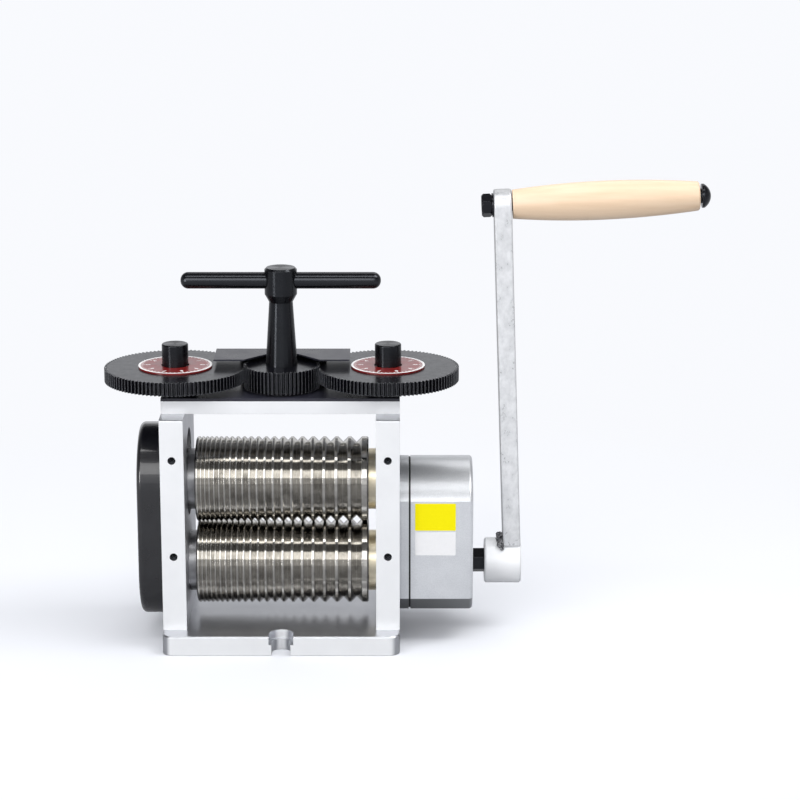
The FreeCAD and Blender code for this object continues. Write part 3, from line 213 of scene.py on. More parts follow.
# ---------------------------------------------------------------- black fasteners
# Cap screws, set screws and the handle's nut, washer and bolt are quenched and oil-blacked steel. They
# are glossy and slightly mottled, with the black a little rubbed off their edges.

BARE_STEEL = (0.55, 0.55, 0.56)
EDGE_WEAR_WIDTH = 0.0002
EDGE_WEAR_STARTS = 0.99
EDGE_WEAR_FULL = 0.80


def worn_edges(tree_nodes, links, principled, colour, bare, width, wear):
    """Rub a finish through to bare steel on its edges: there a rounded normal leaves the flat one."""
    rounded = tree_nodes.new("ShaderNodeBevel")
    rounded.samples = 6
    rounded.inputs["Radius"].default_value = width
    surface = tree_nodes.new("ShaderNodeNewGeometry")
    alike = tree_nodes.new("ShaderNodeVectorMath")
    alike.operation = "DOT_PRODUCT"
    links.new(rounded.outputs["Normal"], alike.inputs[0])
    links.new(surface.outputs["Normal"], alike.inputs[1])
    edge = tree_nodes.new("ShaderNodeMapRange")
    edge.inputs["From Min"].default_value = EDGE_WEAR_STARTS
    edge.inputs["From Max"].default_value = EDGE_WEAR_FULL
    edge.inputs["To Max"].default_value = wear
    links.new(alike.outputs["Value"], edge.inputs["Value"])
    blend = tree_nodes.new("ShaderNodeMix")
    blend.data_type = "RGBA"
    links.new(edge.outputs["Result"], blend.inputs["Factor"])
    links.new(colour, blend.inputs["A"])
    blend.inputs["B"].default_value = (*bare, 1.0)
    links.new(blend.outputs["Result"], principled.inputs["Base Color"])
    links.new(edge.outputs["Result"], principled.inputs["Metallic"])


OIL_TINT = (0.86, 0.91, 1.0, 1.0)
MOTTLE_SCALE = 90.0
STEEL_EDGE_BREAK = 0.0003


def black_oxide(name, dark, light, low_rough, high_rough, grain, scale, depth, gloss_index, wear=0.0):
    """Blacked steel: a dark mottled oxide skin, more or less oily, with the marks of its machining."""
    material, tree_nodes, links, principled = shader(name)
    principled.inputs["IOR"].default_value = gloss_index
    principled.inputs["Specular Tint"].default_value = OIL_TINT
    mottle = stretched_noise(tree_nodes, links, MOTTLE_SCALE)
    skin = ramp(tree_nodes, links, mottle.outputs["Fac"], [(NOISE_LOW, dark), (NOISE_HIGH, light)])
    if wear:
        worn_edges(tree_nodes, links, principled, skin, BARE_STEEL, EDGE_WEAR_WIDTH, wear)
    else:
        links.new(skin, principled.inputs["Base Color"])
    marks = stretched_noise(tree_nodes, links, scale, grain)
    links.new(spread(tree_nodes, links, marks.outputs["Fac"], low_rough, high_rough),
              principled.inputs["Roughness"])
    relief(tree_nodes, links, principled, marks.outputs["Fac"], depth, strength=0.4, edge=STEEL_EDGE_BREAK)
    return material


fastener_finish = black_oxide("blacked_fastener", dark=(0.003, 0.003, 0.004), light=(0.008, 0.008, 0.010),
                              low_rough=0.10, high_rough=0.18, grain=EVEN, scale=500.0, depth=0.000004,
                              gloss_index=1.4, wear=0.3)
give(fastener_finish, "base_screws", "top_screws", "set_screws", "guard_screws", "left_cover_screws",
     "gearbox_screws", "lower_gear_screw", "upper_gear_screw", "crank_set_screw", "handle_bolt",
     "handle_nut", "handle_washer")


# ---------------------------------------------------------------- rolls
# Hardened tool steel, turned and then ground on the lands. Each V groove runs right round, so every mark
# follows the turning, and the steel is a slightly warm grey.

RING_DEPTH = 0.00004
RING_EDGE_BREAK = 0.0002
STAIN_SCALE = 110.0


def turned_steel(name, axis_point, dark, light, low_rough, high_rough, fine):
    """Steel marked in rings about an X axis through the point, which differ along it and outwards."""
    material, tree_nodes, links, principled = shader(name)
    principled.inputs["Metallic"].default_value = 1.0
    principled.inputs["Anisotropic"].default_value = 0.5
    place = tree_nodes.new("ShaderNodeTexCoord")
    centred = tree_nodes.new("ShaderNodeMapping")
    centred.inputs["Location"].default_value = (0.0, -axis_point[1], -axis_point[2])
    split = tree_nodes.new("ShaderNodeSeparateXYZ")
    links.new(place.outputs["Object"], centred.inputs["Vector"])
    links.new(centred.outputs["Vector"], split.inputs["Vector"])
    flat = tree_nodes.new("ShaderNodeCombineXYZ")
    links.new(split.outputs["Y"], flat.inputs["Y"])
    links.new(split.outputs["Z"], flat.inputs["Z"])
    reach = tree_nodes.new("ShaderNodeVectorMath")
    reach.operation = "LENGTH"
    links.new(flat.outputs["Vector"], reach.inputs[0])
    rings = tree_nodes.new("ShaderNodeCombineXYZ")
    links.new(split.outputs["X"], rings.inputs["X"])
    links.new(reach.outputs["Value"], rings.inputs["Y"])
    marks = tree_nodes.new("ShaderNodeTexNoise")
    marks.inputs["Scale"].default_value = fine
    marks.inputs["Detail"].default_value = 5.0
    marks.inputs["Roughness"].default_value = 0.7
    links.new(rings.outputs["Vector"], marks.inputs["Vector"])
    stains = stretched_noise(tree_nodes, links, STAIN_SCALE, detail=5.0, roughness=0.65)
    links.new(ramp(tree_nodes, links, stains.outputs["Fac"], [(0.28, dark), (0.55, light)]),
              principled.inputs["Base Color"])
    links.new(spread(tree_nodes, links, marks.outputs["Fac"], low_rough, high_rough),
              principled.inputs["Roughness"])
    relief(tree_nodes, links, principled, marks.outputs["Fac"], RING_DEPTH, strength=0.5,
           edge=RING_EDGE_BREAK)
    return material


def middle(name):
    """Centre of a node's box."""
    low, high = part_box(name)
    return (low + high) / 2


for roll in ("lower_roll", "upper_roll"):
    give(turned_steel(roll + "_steel", middle(roll), dark=(0.30, 0.288, 0.268), light=(0.52, 0.503, 0.47),
                      low_rough=0.06, high_rough=0.15, fine=2500.0), roll)


# ---------------------------------------------------------------- bushes, blocks and springs
# The crank side runs in brass bushes and the gear side in steel ones. The blocks that carry the upper pair
# are plain turned steel, as are their pressure pads, and the lift springs are drawn square wire.

for node in ("left_lower_bush", "left_upper_bush", "left_bearing_block", "right_bearing_block"):
    give(turned_steel(node + "_steel", middle(node), dark=(0.30, 0.30, 0.31), light=(0.42, 0.42, 0.43),
                      low_rough=0.30, high_rough=0.45, fine=1800.0), node)
for node in ("right_lower_bush", "right_upper_bush", "crank_bush"):
    give(turned_steel(node + "_brass", middle(node), dark=(0.82, 0.72, 0.51), light=(0.93, 0.84, 0.64),
                      low_rough=0.30, high_rough=0.44, fine=1800.0), node)


TOOL_MARKS = 700.0
STEEL_CLOUDS = 60.0


def bright_steel(name, grain, dark, light, low_rough, high_rough, metallic=1.0, depth=0.00003):
    """Plain machined steel with fine marks along its grain."""
    material, tree_nodes, links, principled = shader(name)
    principled.inputs["Metallic"].default_value = metallic
    marks = stretched_noise(tree_nodes, links, TOOL_MARKS, grain)
    clouds = stretched_noise(tree_nodes, links, STEEL_CLOUDS)
    links.new(ramp(tree_nodes, links, clouds.outputs["Fac"], [(NOISE_LOW, dark), (NOISE_HIGH, light)]),
              principled.inputs["Base Color"])
    links.new(spread(tree_nodes, links, marks.outputs["Fac"], low_rough, high_rough),
              principled.inputs["Roughness"])
    relief(tree_nodes, links, principled, marks.outputs["Fac"], depth, strength=0.4, edge=STEEL_EDGE_BREAK)
    return material


give(bright_steel("pad_steel", EVEN, dark=(0.34, 0.34, 0.35), light=(0.48, 0.48, 0.48), low_rough=0.25,
                  high_rough=0.40), "left_pressure_pad", "right_pressure_pad", "centre_pivot")
give(bright_steel("spring_wire", (1.0, 1.0, 0.1), dark=(0.20, 0.20, 0.21), light=(0.34, 0.34, 0.35),
                  low_rough=0.25, high_rough=0.40), "lift_springs")


# ---------------------------------------------------------------- adjusting screws, gears and tee handle
# Everything the operator turns on top is turned, hobbed and oil blacked, which leaves it near black with a
# gloss drawn out by the lathe, and bare steel on the gears' tooth edges.

ROUND_Z = (0.15, 0.15, 1.0)
ROUND_X = (1.0, 0.15, 0.15)
DEEP_BLACK = (0.001, 0.001, 0.0015)
SOFT_BLACK = (0.003, 0.003, 0.004)
LATHE_STRETCH = 0.85
QUARTER_TURN = 0.25
gear_finish = black_oxide("blacked_gear", dark=(0.002, 0.002, 0.003), light=(0.005, 0.005, 0.008),
                          low_rough=0.20, high_rough=0.27, grain=EVEN, scale=260.0, depth=0.000002,
                          gloss_index=1.50, wear=0.8)
handle_finish = black_oxide("blacked_handle", DEEP_BLACK, SOFT_BLACK, low_rough=0.18, high_rough=0.26,
                            grain=ROUND_Z, scale=900.0, depth=0.0000005, gloss_index=1.46)
blacked_bar = black_oxide("blacked_bar", DEEP_BLACK, SOFT_BLACK, low_rough=0.20, high_rough=0.28,
                          grain=ROUND_X, scale=900.0, depth=0.0000005, gloss_index=1.55)


def turned_about(material, axis):
    """Draw the gloss out along the axis of turning, as fine lathe rings do."""
    tree = material.node_tree
    principled = tree.nodes["Principled BSDF"]
    principled.inputs["Anisotropic"].default_value = LATHE_STRETCH
    principled.inputs["Anisotropic Rotation"].default_value = QUARTER_TURN
    tangent = tree.nodes.new("ShaderNodeTangent")
    tangent.direction_type = "RADIAL"
    tangent.axis = axis
    tree.links.new(tangent.outputs["Tangent"], principled.inputs["Tangent"])


turned_about(handle_finish, "Z")
turned_about(blacked_bar, "X")
give(gear_finish, "left_adjusting_gear", "right_adjusting_gear", "centre_pinion", "left_gear_spacer",
     "right_gear_spacer")
give(handle_finish, "left_adjusting_screw", "right_adjusting_screw", "tee_column")
give(blacked_bar, "tee_bar")


# ---------------------------------------------------------------- dials
# A thin printed disc lies on each adjusting gear: red lacquer with a white rim line, white divisions and
# plain numbers that are read against the guard's edge.

LACQUER_DARK = (0.17, 0.006, 0.006)
LACQUER_LIGHT = (0.26, 0.014, 0.012)
INK_THIN = (0.82, 0.81, 0.81)
INK_FULL = (0.92, 0.92, 0.92)


def printed_disc(name):
    """Dark red lacquer under a clear coat."""
    material, tree_nodes, links, principled = shader(name)
    principled.inputs["Coat Weight"].default_value = 0.4
    principled.inputs["Coat Roughness"].default_value = 0.06
    wear = stretched_noise(tree_nodes, links, 160.0, detail=5.0)
    links.new(ramp(tree_nodes, links, wear.outputs["Fac"], [(0.3, LACQUER_DARK), (0.75, LACQUER_LIGHT)]),
              principled.inputs["Base Color"])
    links.new(spread(tree_nodes, links, wear.outputs["Fac"], 0.28, 0.40), principled.inputs["Roughness"])
    relief(tree_nodes, links, principled, wear.outputs["Fac"], depth=0.00001, strength=0.3, edge=0.0002)
    return material


def white_print(name):
    """Screen-printed white ink, slightly uneven in cover."""
    material, tree_nodes, links, principled = shader(name)
    cover = stretched_noise(tree_nodes, links, 900.0, detail=3.0)
    links.new(ramp(tree_nodes, links, cover.outputs["Fac"], [(0.3, INK_THIN), (0.6, INK_FULL)]),
              principled.inputs["Base Color"])
    links.new(spread(tree_nodes, links, cover.outputs["Fac"], 0.40, 0.55), principled.inputs["Roughness"])
    return material


DIVISIONS = 50
NUMBER_STEP = 5
INK_THICK = 0.00008
RIM_WIDTH = 0.0014
TICK_LENGTH = 0.0016
LONG_TICK_LENGTH = 0.0026
TICK_WIDTH = 0.00035
NUMBER_SIZE = 0.0042
NUMBER_DROP = 0.55
NUMBER_BOLDNESS = 0.00006
RIM_EDGE = 0.00005
RIM_SIDES = 96
ink = white_print("dial_ink")
dial_red = printed_disc("dial_red")


def join_as(name, objects):
    """Join the objects into the first, with its place moved into its mesh."""
    bpy.ops.object.select_all(action="DESELECT")
    for item in objects:
        item.select_set(True)
    bpy.context.view_layer.objects.active = objects[0]
    if len(objects) > 1:
        bpy.ops.object.join()
    piece = bpy.context.view_layer.objects.active
    bpy.ops.object.transform_apply(location=True, rotation=True, scale=True)
    bpy.context.scene.cursor.location = (0.0, 0.0, 0.0)
    bpy.ops.object.origin_set(type="ORIGIN_CURSOR")
    piece.name = name
    piece.data.name = name
    piece.select_set(False)
    return piece


def dial_print(side):
    """Rim line, divisions and numbers of one dial, just proud of its face."""
    low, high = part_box(side + "_dial")
    centre = Vector(((low.x + high.x) / 2, (low.y + high.y) / 2, high.z))
    rim = (high.x - low.x) / 2 - RIM_EDGE
    parts = []
    bpy.ops.mesh.primitive_circle_add(vertices=RIM_SIDES, radius=rim, fill_type="NGON", location=centre)
    ring = bpy.context.active_object
    bpy.ops.object.mode_set(mode="EDIT")
    bpy.ops.mesh.select_all(action="SELECT")
    bpy.ops.mesh.inset(thickness=RIM_WIDTH)
    bpy.ops.mesh.delete(type="FACE")
    bpy.ops.mesh.select_all(action="SELECT")
    bpy.ops.mesh.extrude_region_move(TRANSFORM_OT_translate={"value": (0.0, 0.0, INK_THICK)})
    bpy.ops.mesh.select_all(action="SELECT")
    bpy.ops.mesh.normals_make_consistent(inside=False)
    bpy.ops.object.mode_set(mode="OBJECT")
    parts.append(ring)
    for step in range(DIVISIONS):
        angle = 2 * math.pi * step / DIVISIONS
        out = Vector((math.cos(angle), math.sin(angle), 0.0))
        numbered = step % NUMBER_STEP == 0
        length = LONG_TICK_LENGTH if numbered else TICK_LENGTH
        spot = centre + out * (rim - RIM_WIDTH - length / 2) + Vector((0.0, 0.0, INK_THICK / 2))
        bpy.ops.mesh.primitive_cube_add(size=1.0, location=spot, rotation=(0.0, 0.0, angle),
                                        scale=(length, TICK_WIDTH, INK_THICK))
        parts.append(bpy.context.active_object)
        if numbered:
            spot = centre + out * (rim - RIM_WIDTH - LONG_TICK_LENGTH - NUMBER_SIZE * NUMBER_DROP)
            bpy.ops.object.text_add(location=spot, rotation=(0.0, 0.0, angle - math.pi / 2))
            figure = bpy.context.active_object
            figure.data.body = str(step // NUMBER_STEP)
            figure.data.size = NUMBER_SIZE
            figure.data.align_x = "CENTER"
            figure.data.align_y = "CENTER"
            figure.data.extrude = INK_THICK / 2
            figure.data.resolution_u = 4
            figure.data.offset = NUMBER_BOLDNESS
            figure.location.z += INK_THICK / 2
            bpy.ops.object.convert(target="MESH")
            parts.append(bpy.context.active_object)
    piece = join_as(side + "_dial_print", parts)
    piece.data.materials.clear()
    piece.data.materials.append(ink)
    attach(piece, side + "_gear")


for side in ("left", "right"):
    give(dial_red, side + "_dial")
    dial_print(side)


# ---------------------------------------------------------------- left gear cover
# A pressed steel shell over the coupling gears, screwed against the cheek and sprayed gloss black, so it
# carries long soft reflections and no grain.

give(enamel("cover_enamel", dark=(0.003, 0.003, 0.005), light=(0.007, 0.007, 0.010), roughness=0.30,
            peel=0.000006, coat=0.8), "left_gear_cover")


# ---------------------------------------------------------------- coupling gears and back gear
# The gears inside the two covers are plain hobbed steel, greased, on keys of bright bar. They show only
# when the covers are lifted.

inner_steel = bright_steel("gear_steel", EVEN, dark=(0.36, 0.35, 0.33), light=(0.52, 0.51, 0.49),
                           low_rough=0.25, high_rough=0.42)
give(inner_steel, "lower_coupling_gear", "upper_coupling_gear", "roll_drive_gear", "lay_gear", "lay_pinion",
     "lay_shaft", "lower_coupling_key", "upper_coupling_key", "drive_gear_key")


# ---------------------------------------------------------------- gearbox
# The cover is cast and the plate behind it sawn, both sprayed the same silver with a fine flake in it.
# A thin black gasket line parts them.

SPRAY_METALLIC = 0.78
FLAKE_SCALE = 1600.0
FLAKE_SHARE = 0.6
FLAKE_LOW = 0.38
FLAKE_HIGH = 0.62
CASTING_CLOUDS = 45.0
CAST_EDGE_BREAK = 0.0006
UNDERSIDE, UPRIGHT_LOW, UPRIGHT_HIGH, SHOULDER, CROWN = 0.10, 0.42, 0.76, 0.85, 0.97
UNDERSIDE_PAINTED_SHADE, SHOULDER_PAINTED_SHADE, CROWN_PAINTED_SHADE = (0.26,) * 3, (0.72,) * 3, (0.80,) * 3


def silver_spray(name, dark, light, depth):
    """Silver paint with metal flake and the pitted skin of a casting under it.

    Upright faces keep the full colour. Faces that turn up are a little darker and faces that turn under
    much darker: painted shade for their darker look."""
    material, tree_nodes, links, principled = shader(name)
    principled.inputs["Metallic"].default_value = SPRAY_METALLIC
    flake = stretched_noise(tree_nodes, links, FLAKE_SCALE, detail=3.0)
    clouds = stretched_noise(tree_nodes, links, CASTING_CLOUDS)
    mix = tree_nodes.new("ShaderNodeMath")
    mix.operation = "MULTIPLY_ADD"
    mix.inputs[1].default_value = FLAKE_SHARE
    links.new(flake.outputs["Fac"], mix.inputs[0])
    share = tree_nodes.new("ShaderNodeMath")
    share.operation = "MULTIPLY"
    share.inputs[1].default_value = 1.0 - FLAKE_SHARE
    links.new(clouds.outputs["Fac"], share.inputs[0])
    links.new(share.outputs["Value"], mix.inputs[2])
    surface = tree_nodes.new("ShaderNodeNewGeometry")
    facing = tree_nodes.new("ShaderNodeSeparateXYZ")
    links.new(surface.outputs["Normal"], facing.inputs["Vector"])
    lean = tree_nodes.new("ShaderNodeMapRange")
    lean.inputs["From Min"].default_value = -1.0
    lean.inputs["From Max"].default_value = 1.0
    links.new(facing.outputs["Z"], lean.inputs["Value"])
    # painted shade: darker colour on faces turned up, much darker on faces turned under
    cover = ramp(tree_nodes, links, lean.outputs["Result"],
                 [(UNDERSIDE, UNDERSIDE_PAINTED_SHADE), (UPRIGHT_LOW, WHITE), (UPRIGHT_HIGH, WHITE),
                  (SHOULDER, SHOULDER_PAINTED_SHADE), (CROWN, CROWN_PAINTED_SHADE)])
    painted_shade_multiply = tree_nodes.new("ShaderNodeMix")
    painted_shade_multiply.data_type = "RGBA"
    painted_shade_multiply.blend_type = "MULTIPLY"
    painted_shade_multiply.inputs["Factor"].default_value = 1.0
    links.new(ramp(tree_nodes, links, mix.outputs["Value"], [(FLAKE_LOW, dark), (FLAKE_HIGH, light)]),
              painted_shade_multiply.inputs["A"])
    links.new(cover, painted_shade_multiply.inputs["B"])
    links.new(painted_shade_multiply.outputs["Result"], principled.inputs["Base Color"])
    links.new(spread(tree_nodes, links, flake.outputs["Fac"], 0.30, 0.42), principled.inputs["Roughness"])
    relief(tree_nodes, links, principled, flake.outputs["Fac"], depth, strength=0.5, edge=CAST_EDGE_BREAK)
    return material


give(silver_spray("box_silver", dark=(0.80, 0.82, 0.85), light=(0.92, 0.94, 0.97), depth=0.00005),
     "gearbox_cover")
give(silver_spray("box_plate_silver", dark=(0.72, 0.74, 0.77), light=(0.84, 0.86, 0.89), depth=0.00004),
     "gearbox_plate")
give(enamel("gasket_black", dark=(0.014, 0.014, 0.015), light=(0.030, 0.030, 0.031), roughness=0.6,
            peel=0.00004, coat=0.0), "gearbox_gasket")


# ---------------------------------------------------------------- labels
# Two small rectangles of film are stuck one above the other on the gearbox's flat front: a yellow one and
# a white one below it, both left blank.

LABEL_LEFT = 0.0848
LABEL_RIGHT = 0.1106
YELLOW_BOTTOM, YELLOW_TOP = 0.0756, 0.0934
WHITE_BOTTOM, WHITE_TOP = 0.0592, 0.0746
LABEL_THICK = 0.00012
LABEL_CORNER = 0.0005


def label(name, bottom, top, dark, light):
    """One blank label with rounded corners, on the front face of the gearbox cover."""
    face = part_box("gearbox_cover")[0].y
    spot = ((LABEL_LEFT + LABEL_RIGHT) / 2, face - LABEL_THICK / 2, (bottom + top) / 2)
    bpy.ops.mesh.primitive_cube_add(size=1.0, location=spot,
                                    scale=(LABEL_RIGHT - LABEL_LEFT, LABEL_THICK, top - bottom))
    piece = bpy.context.active_object
    bpy.ops.object.transform_apply(location=True, rotation=True, scale=True)
    bpy.ops.object.mode_set(mode="EDIT")
    bpy.ops.mesh.select_mode(type="EDGE")
    bpy.ops.mesh.select_all(action="DESELECT")
    mesh = bmesh.from_edit_mesh(piece.data)
    for edge in mesh.edges:
        run = edge.verts[1].co - edge.verts[0].co
        edge.select = abs(run.y) > LABEL_THICK / 2
    mesh.select_flush_mode()
    bmesh.update_edit_mesh(piece.data)
    bpy.ops.mesh.bevel(offset=LABEL_CORNER, segments=3, affect="EDGES")
    bpy.ops.object.mode_set(mode="OBJECT")
    piece = join_as(name, [piece])
    material, tree_nodes, links, principled = shader(name + "_film")
    principled.inputs["Specular IOR Level"].default_value = 0.12
    grain = stretched_noise(tree_nodes, links, 500.0)
    links.new(ramp(tree_nodes, links, grain.outputs["Fac"], [(0.3, dark), (0.65, light)]),
              principled.inputs["Base Color"])
    links.new(spread(tree_nodes, links, grain.outputs["Fac"], 0.35, 0.5), principled.inputs["Roughness"])
    piece.data.materials.append(material)
    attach(piece, "frame")


label("yellow_label", YELLOW_BOTTOM, YELLOW_TOP, dark=(0.92, 0.81, 0.002), light=(0.94, 0.83, 0.003))
label("white_label", WHITE_BOTTOM, WHITE_TOP, dark=(0.84, 0.84, 0.85), light=(0.865, 0.865, 0.875))


# ---------------------------------------------------------------- crank
# The shaft's hexagon is blacked. Hub and arm are mild steel under a thin silver plating that still shows
# the bar's drawn skin.

PLATING_METALLIC = 0.35
PLATING_MOTTLE = 260.0
PLATING_DARK = (0.70, 0.71, 0.725)
PLATING_LIGHT = (0.88, 0.89, 0.905)
NARROW_PAINTED_SHADE = (0.56,) * 3
NARROW_UP_TO = 0.30
BROAD_FROM = 0.80
DRAWN_EDGE_BREAK = 0.0008
give(black_oxide("blacked_shaft", dark=(0.004, 0.004, 0.005), light=(0.012, 0.012, 0.014), low_rough=0.12,
                 high_rough=0.24, grain=(0.15, 1.0, 1.0), scale=600.0, depth=0.000006, gloss_index=1.45,
                 wear=0.45), "crank_shaft")


def plated_bar(name):
    """Thin plating over drawn bar: mottled on its broad faces; painted shade darkens the narrow ones and
    ends.
    """
    material, tree_nodes, links, principled = shader(name)
    principled.inputs["Metallic"].default_value = PLATING_METALLIC
    place = tree_nodes.new("ShaderNodeTexCoord")
    facing = tree_nodes.new("ShaderNodeSeparateXYZ")
    links.new(place.outputs["Normal"], facing.inputs["Vector"])
    broad = tree_nodes.new("ShaderNodeMath")
    broad.operation = "ABSOLUTE"
    links.new(facing.outputs["Y"], broad.inputs[0])
    mottle = stretched_noise(tree_nodes, links, PLATING_MOTTLE, (1.0, 1.0, 0.7))
    tone_with_painted_shade = tree_nodes.new("ShaderNodeMix")
    tone_with_painted_shade.data_type = "RGBA"
    tone_with_painted_shade.blend_type = "MULTIPLY"
    tone_with_painted_shade.inputs["Factor"].default_value = 1.0
    links.new(ramp(tree_nodes, links, mottle.outputs["Fac"], [(0.34, PLATING_DARK), (0.66, PLATING_LIGHT)]),
              tone_with_painted_shade.inputs["A"])
    # painted shade: the narrow faces and the ends are coloured darker
    links.new(ramp(tree_nodes, links, broad.outputs["Value"],
                   [(NARROW_UP_TO, NARROW_PAINTED_SHADE), (BROAD_FROM, WHITE)]), tone_with_painted_shade.inputs["B"])
    links.new(tone_with_painted_shade.outputs["Result"], principled.inputs["Base Color"])
    links.new(spread(tree_nodes, links, mottle.outputs["Fac"], 0.26, 0.40), principled.inputs["Roughness"])
    relief(tree_nodes, links, principled, mottle.outputs["Fac"], depth=0.00001, strength=0.4,
           edge=DRAWN_EDGE_BREAK)
    return material


give(plated_bar("arm_plating"), "crank_arm")
give(bright_steel("hub_plating", (0.3, 1.0, 1.0), dark=(0.88, 0.89, 0.905), light=(0.92, 0.93, 0.945),
                  low_rough=0.42, high_rough=0.50, metallic=0.12, depth=0.000004), "crank_hub")


# ---------------------------------------------------------------- weld
# One short bead, laid by hand, joins the arm to the hub at the top. It is a row of overlapping puddles with
# a rough crust, left as it cooled.

WELD_LUMP = 0.0021
WELD_OUT = 0.0013
WELD_PITCH = 0.0011
WANDER = 0.0007
WANDER_BEAT = 2.4
LUMP_SWING = 0.2
LUMP_BEAT = 3.7
END_TAPER = 0.5
VOXEL = 0.00025
WELD_GRAIN = 0.00055
CRUST_SCALE = 1100.0
FINE_CRUST_SCALE = 2600.0
FINE_CRUST_SHARE = 0.6
SCALE_DARK, SCALE_MIDDLE, SCALE_BRIGHT = (0.02, 0.02, 0.022), (0.16, 0.16, 0.17), (0.60, 0.60, 0.61)


def weld_bead(name):
    """A hand-laid bead in the corner of hub and arm: overlapping puddles, fused and left rough."""
    hub_low, hub_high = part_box("crank_hub")
    weld_low, weld_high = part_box("crank_weld")
    centre = (hub_low + hub_high) / 2
    round_hub = (hub_high.z - hub_low.z) / 2
    reach = round_hub + WELD_OUT
    sweep = math.asin(min(1.0, (weld_high.y - weld_low.y) / 2 / (round_hub + 2 * WELD_OUT)))
    puddles = int(2 * sweep * reach / WELD_PITCH)
    lumps = []
    for step in range(puddles + 1):
        turn = -sweep + 2 * sweep * step / puddles
        wander = WANDER * math.sin(step * WANDER_BEAT)
        taper = 1.0 - END_TAPER * (turn / sweep) ** 4
        spot = (weld_high.x - WELD_OUT * taper + wander, centre.y + reach * math.sin(turn),
                centre.z + reach * math.cos(turn) - wander)
        swell = 1.0 + LUMP_SWING * math.sin(step * LUMP_BEAT)
        bpy.ops.mesh.primitive_ico_sphere_add(subdivisions=3, location=spot,
                                              radius=WELD_LUMP * taper * swell)
        lumps.append(bpy.context.active_object)
    piece = join_as(name, lumps)
    bpy.context.view_layer.objects.active = piece
    fuse = piece.modifiers.new("fuse", "REMESH")
    fuse.mode = "VOXEL"
    fuse.voxel_size = VOXEL
    bpy.ops.object.modifier_apply(modifier=fuse.name)
    for point in piece.data.vertices:
        fine = noise.noise(point.co * FINE_CRUST_SCALE)
        crust = noise.noise(point.co * CRUST_SCALE) + FINE_CRUST_SHARE * fine
        point.co += point.normal * WELD_GRAIN * crust
    bpy.ops.object.select_all(action="DESELECT")
    piece.select_set(True)
    bpy.ops.object.shade_smooth()
    piece.select_set(False)
    material, tree_nodes, links, principled = shader("weld_scale")
    principled.inputs["Metallic"].default_value = 0.8
    scale_marks = stretched_noise(tree_nodes, links, 700.0, detail=5.0, roughness=0.7)
    links.new(ramp(tree_nodes, links, scale_marks.outputs["Fac"],
                   [(0.40, SCALE_DARK), (0.52, SCALE_MIDDLE), (0.66, SCALE_BRIGHT)]),
              principled.inputs["Base Color"])
    links.new(spread(tree_nodes, links, scale_marks.outputs["Fac"], 0.55, 0.25),
              principled.inputs["Roughness"])
    relief(tree_nodes, links, principled, scale_marks.outputs["Fac"], depth=0.0001, strength=0.6)
    piece.data.materials.clear()
    piece.data.materials.append(material)
    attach(piece, "crank")
    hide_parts("crank_weld")


weld_bead("weld_bead")


# ---------------------------------------------------------------- handle grip
# A turned birch grip spins on the long bolt. It is pale, straight grained along its length and clear
# lacquered.

GRIP_LEAN = math.radians(2.6)
ALONG_GRIP = (0.06, 1.0, 1.0)
GRAIN_SCALE = 260.0
FIGURE_SCALE = 60.0
BIRCH_DARK, BIRCH_MIDDLE, BIRCH_LIGHT = (0.78, 0.565, 0.365), (0.85, 0.64, 0.45), (0.88, 0.69, 0.51)
GRAIN_SHADE = (0.86, 0.80, 0.72)
TURNED_EDGE_BREAK = 0.0004


def lacquered_birch(name, lean):
    """Birch with its grain along the grip."""
    material, tree_nodes, links, principled = shader(name)
    principled.inputs["Coat Weight"].default_value = 0.25
    principled.inputs["Coat Roughness"].default_value = 0.3
    place = tree_nodes.new("ShaderNodeTexCoord")
    turn = tree_nodes.new("ShaderNodeMapping")
    turn.inputs["Rotation"].default_value = (0.0, lean, 0.0)
    turn.inputs["Scale"].default_value = ALONG_GRIP
    links.new(place.outputs["Object"], turn.inputs["Vector"])
    grain = tree_nodes.new("ShaderNodeTexNoise")
    grain.inputs["Scale"].default_value = GRAIN_SCALE
    grain.inputs["Detail"].default_value = 6.0
    grain.inputs["Roughness"].default_value = 0.65
    links.new(turn.outputs["Vector"], grain.inputs["Vector"])
    figure = tree_nodes.new("ShaderNodeTexNoise")
    figure.inputs["Scale"].default_value = FIGURE_SCALE
    figure.inputs["Detail"].default_value = 3.0
    figure.inputs["Distortion"].default_value = 0.6
    links.new(turn.outputs["Vector"], figure.inputs["Vector"])
    long_tone = ramp(tree_nodes, links, figure.outputs["Fac"],
                     [(0.30, BIRCH_DARK), (0.52, BIRCH_MIDDLE), (0.72, BIRCH_LIGHT)])
    fine_tone = ramp(tree_nodes, links, grain.outputs["Fac"], [(0.34, GRAIN_SHADE), (0.60, WHITE)])
    blend = tree_nodes.new("ShaderNodeMix")
    blend.data_type = "RGBA"
    blend.blend_type = "MULTIPLY"
    blend.inputs["Factor"].default_value = 0.5
    links.new(long_tone, blend.inputs["A"])
    links.new(fine_tone, blend.inputs["B"])
    links.new(blend.outputs["Result"], principled.inputs["Base Color"])
    links.new(spread(tree_nodes, links, grain.outputs["Fac"], 0.52, 0.40), principled.inputs["Roughness"])
    relief(tree_nodes, links, principled, grain.outputs["Fac"], depth=0.00004, strength=0.35,
           edge=TURNED_EDGE_BREAK)
    return material


give(lacquered_birch("grip_birch", GRIP_LEAN), "handle_grip")


# ---------------------------------------------------------------- handle nut
# The nut that holds the handle's bolt to the arm is a blacked hexagon. Both its ends are turned off to a
# cone at the corners, and it leans with the bolt.

NUT_FLATS = 0.013
NUT_HEIGHT = 0.0065
NUT_BORE = 0.00405
NUT_CHAMFER = 0.0013
CORNER_UP = math.pi / 6
PAST_CORNER = 1.01
TURNED_SIDES = 64
BORE_SIDES = 48


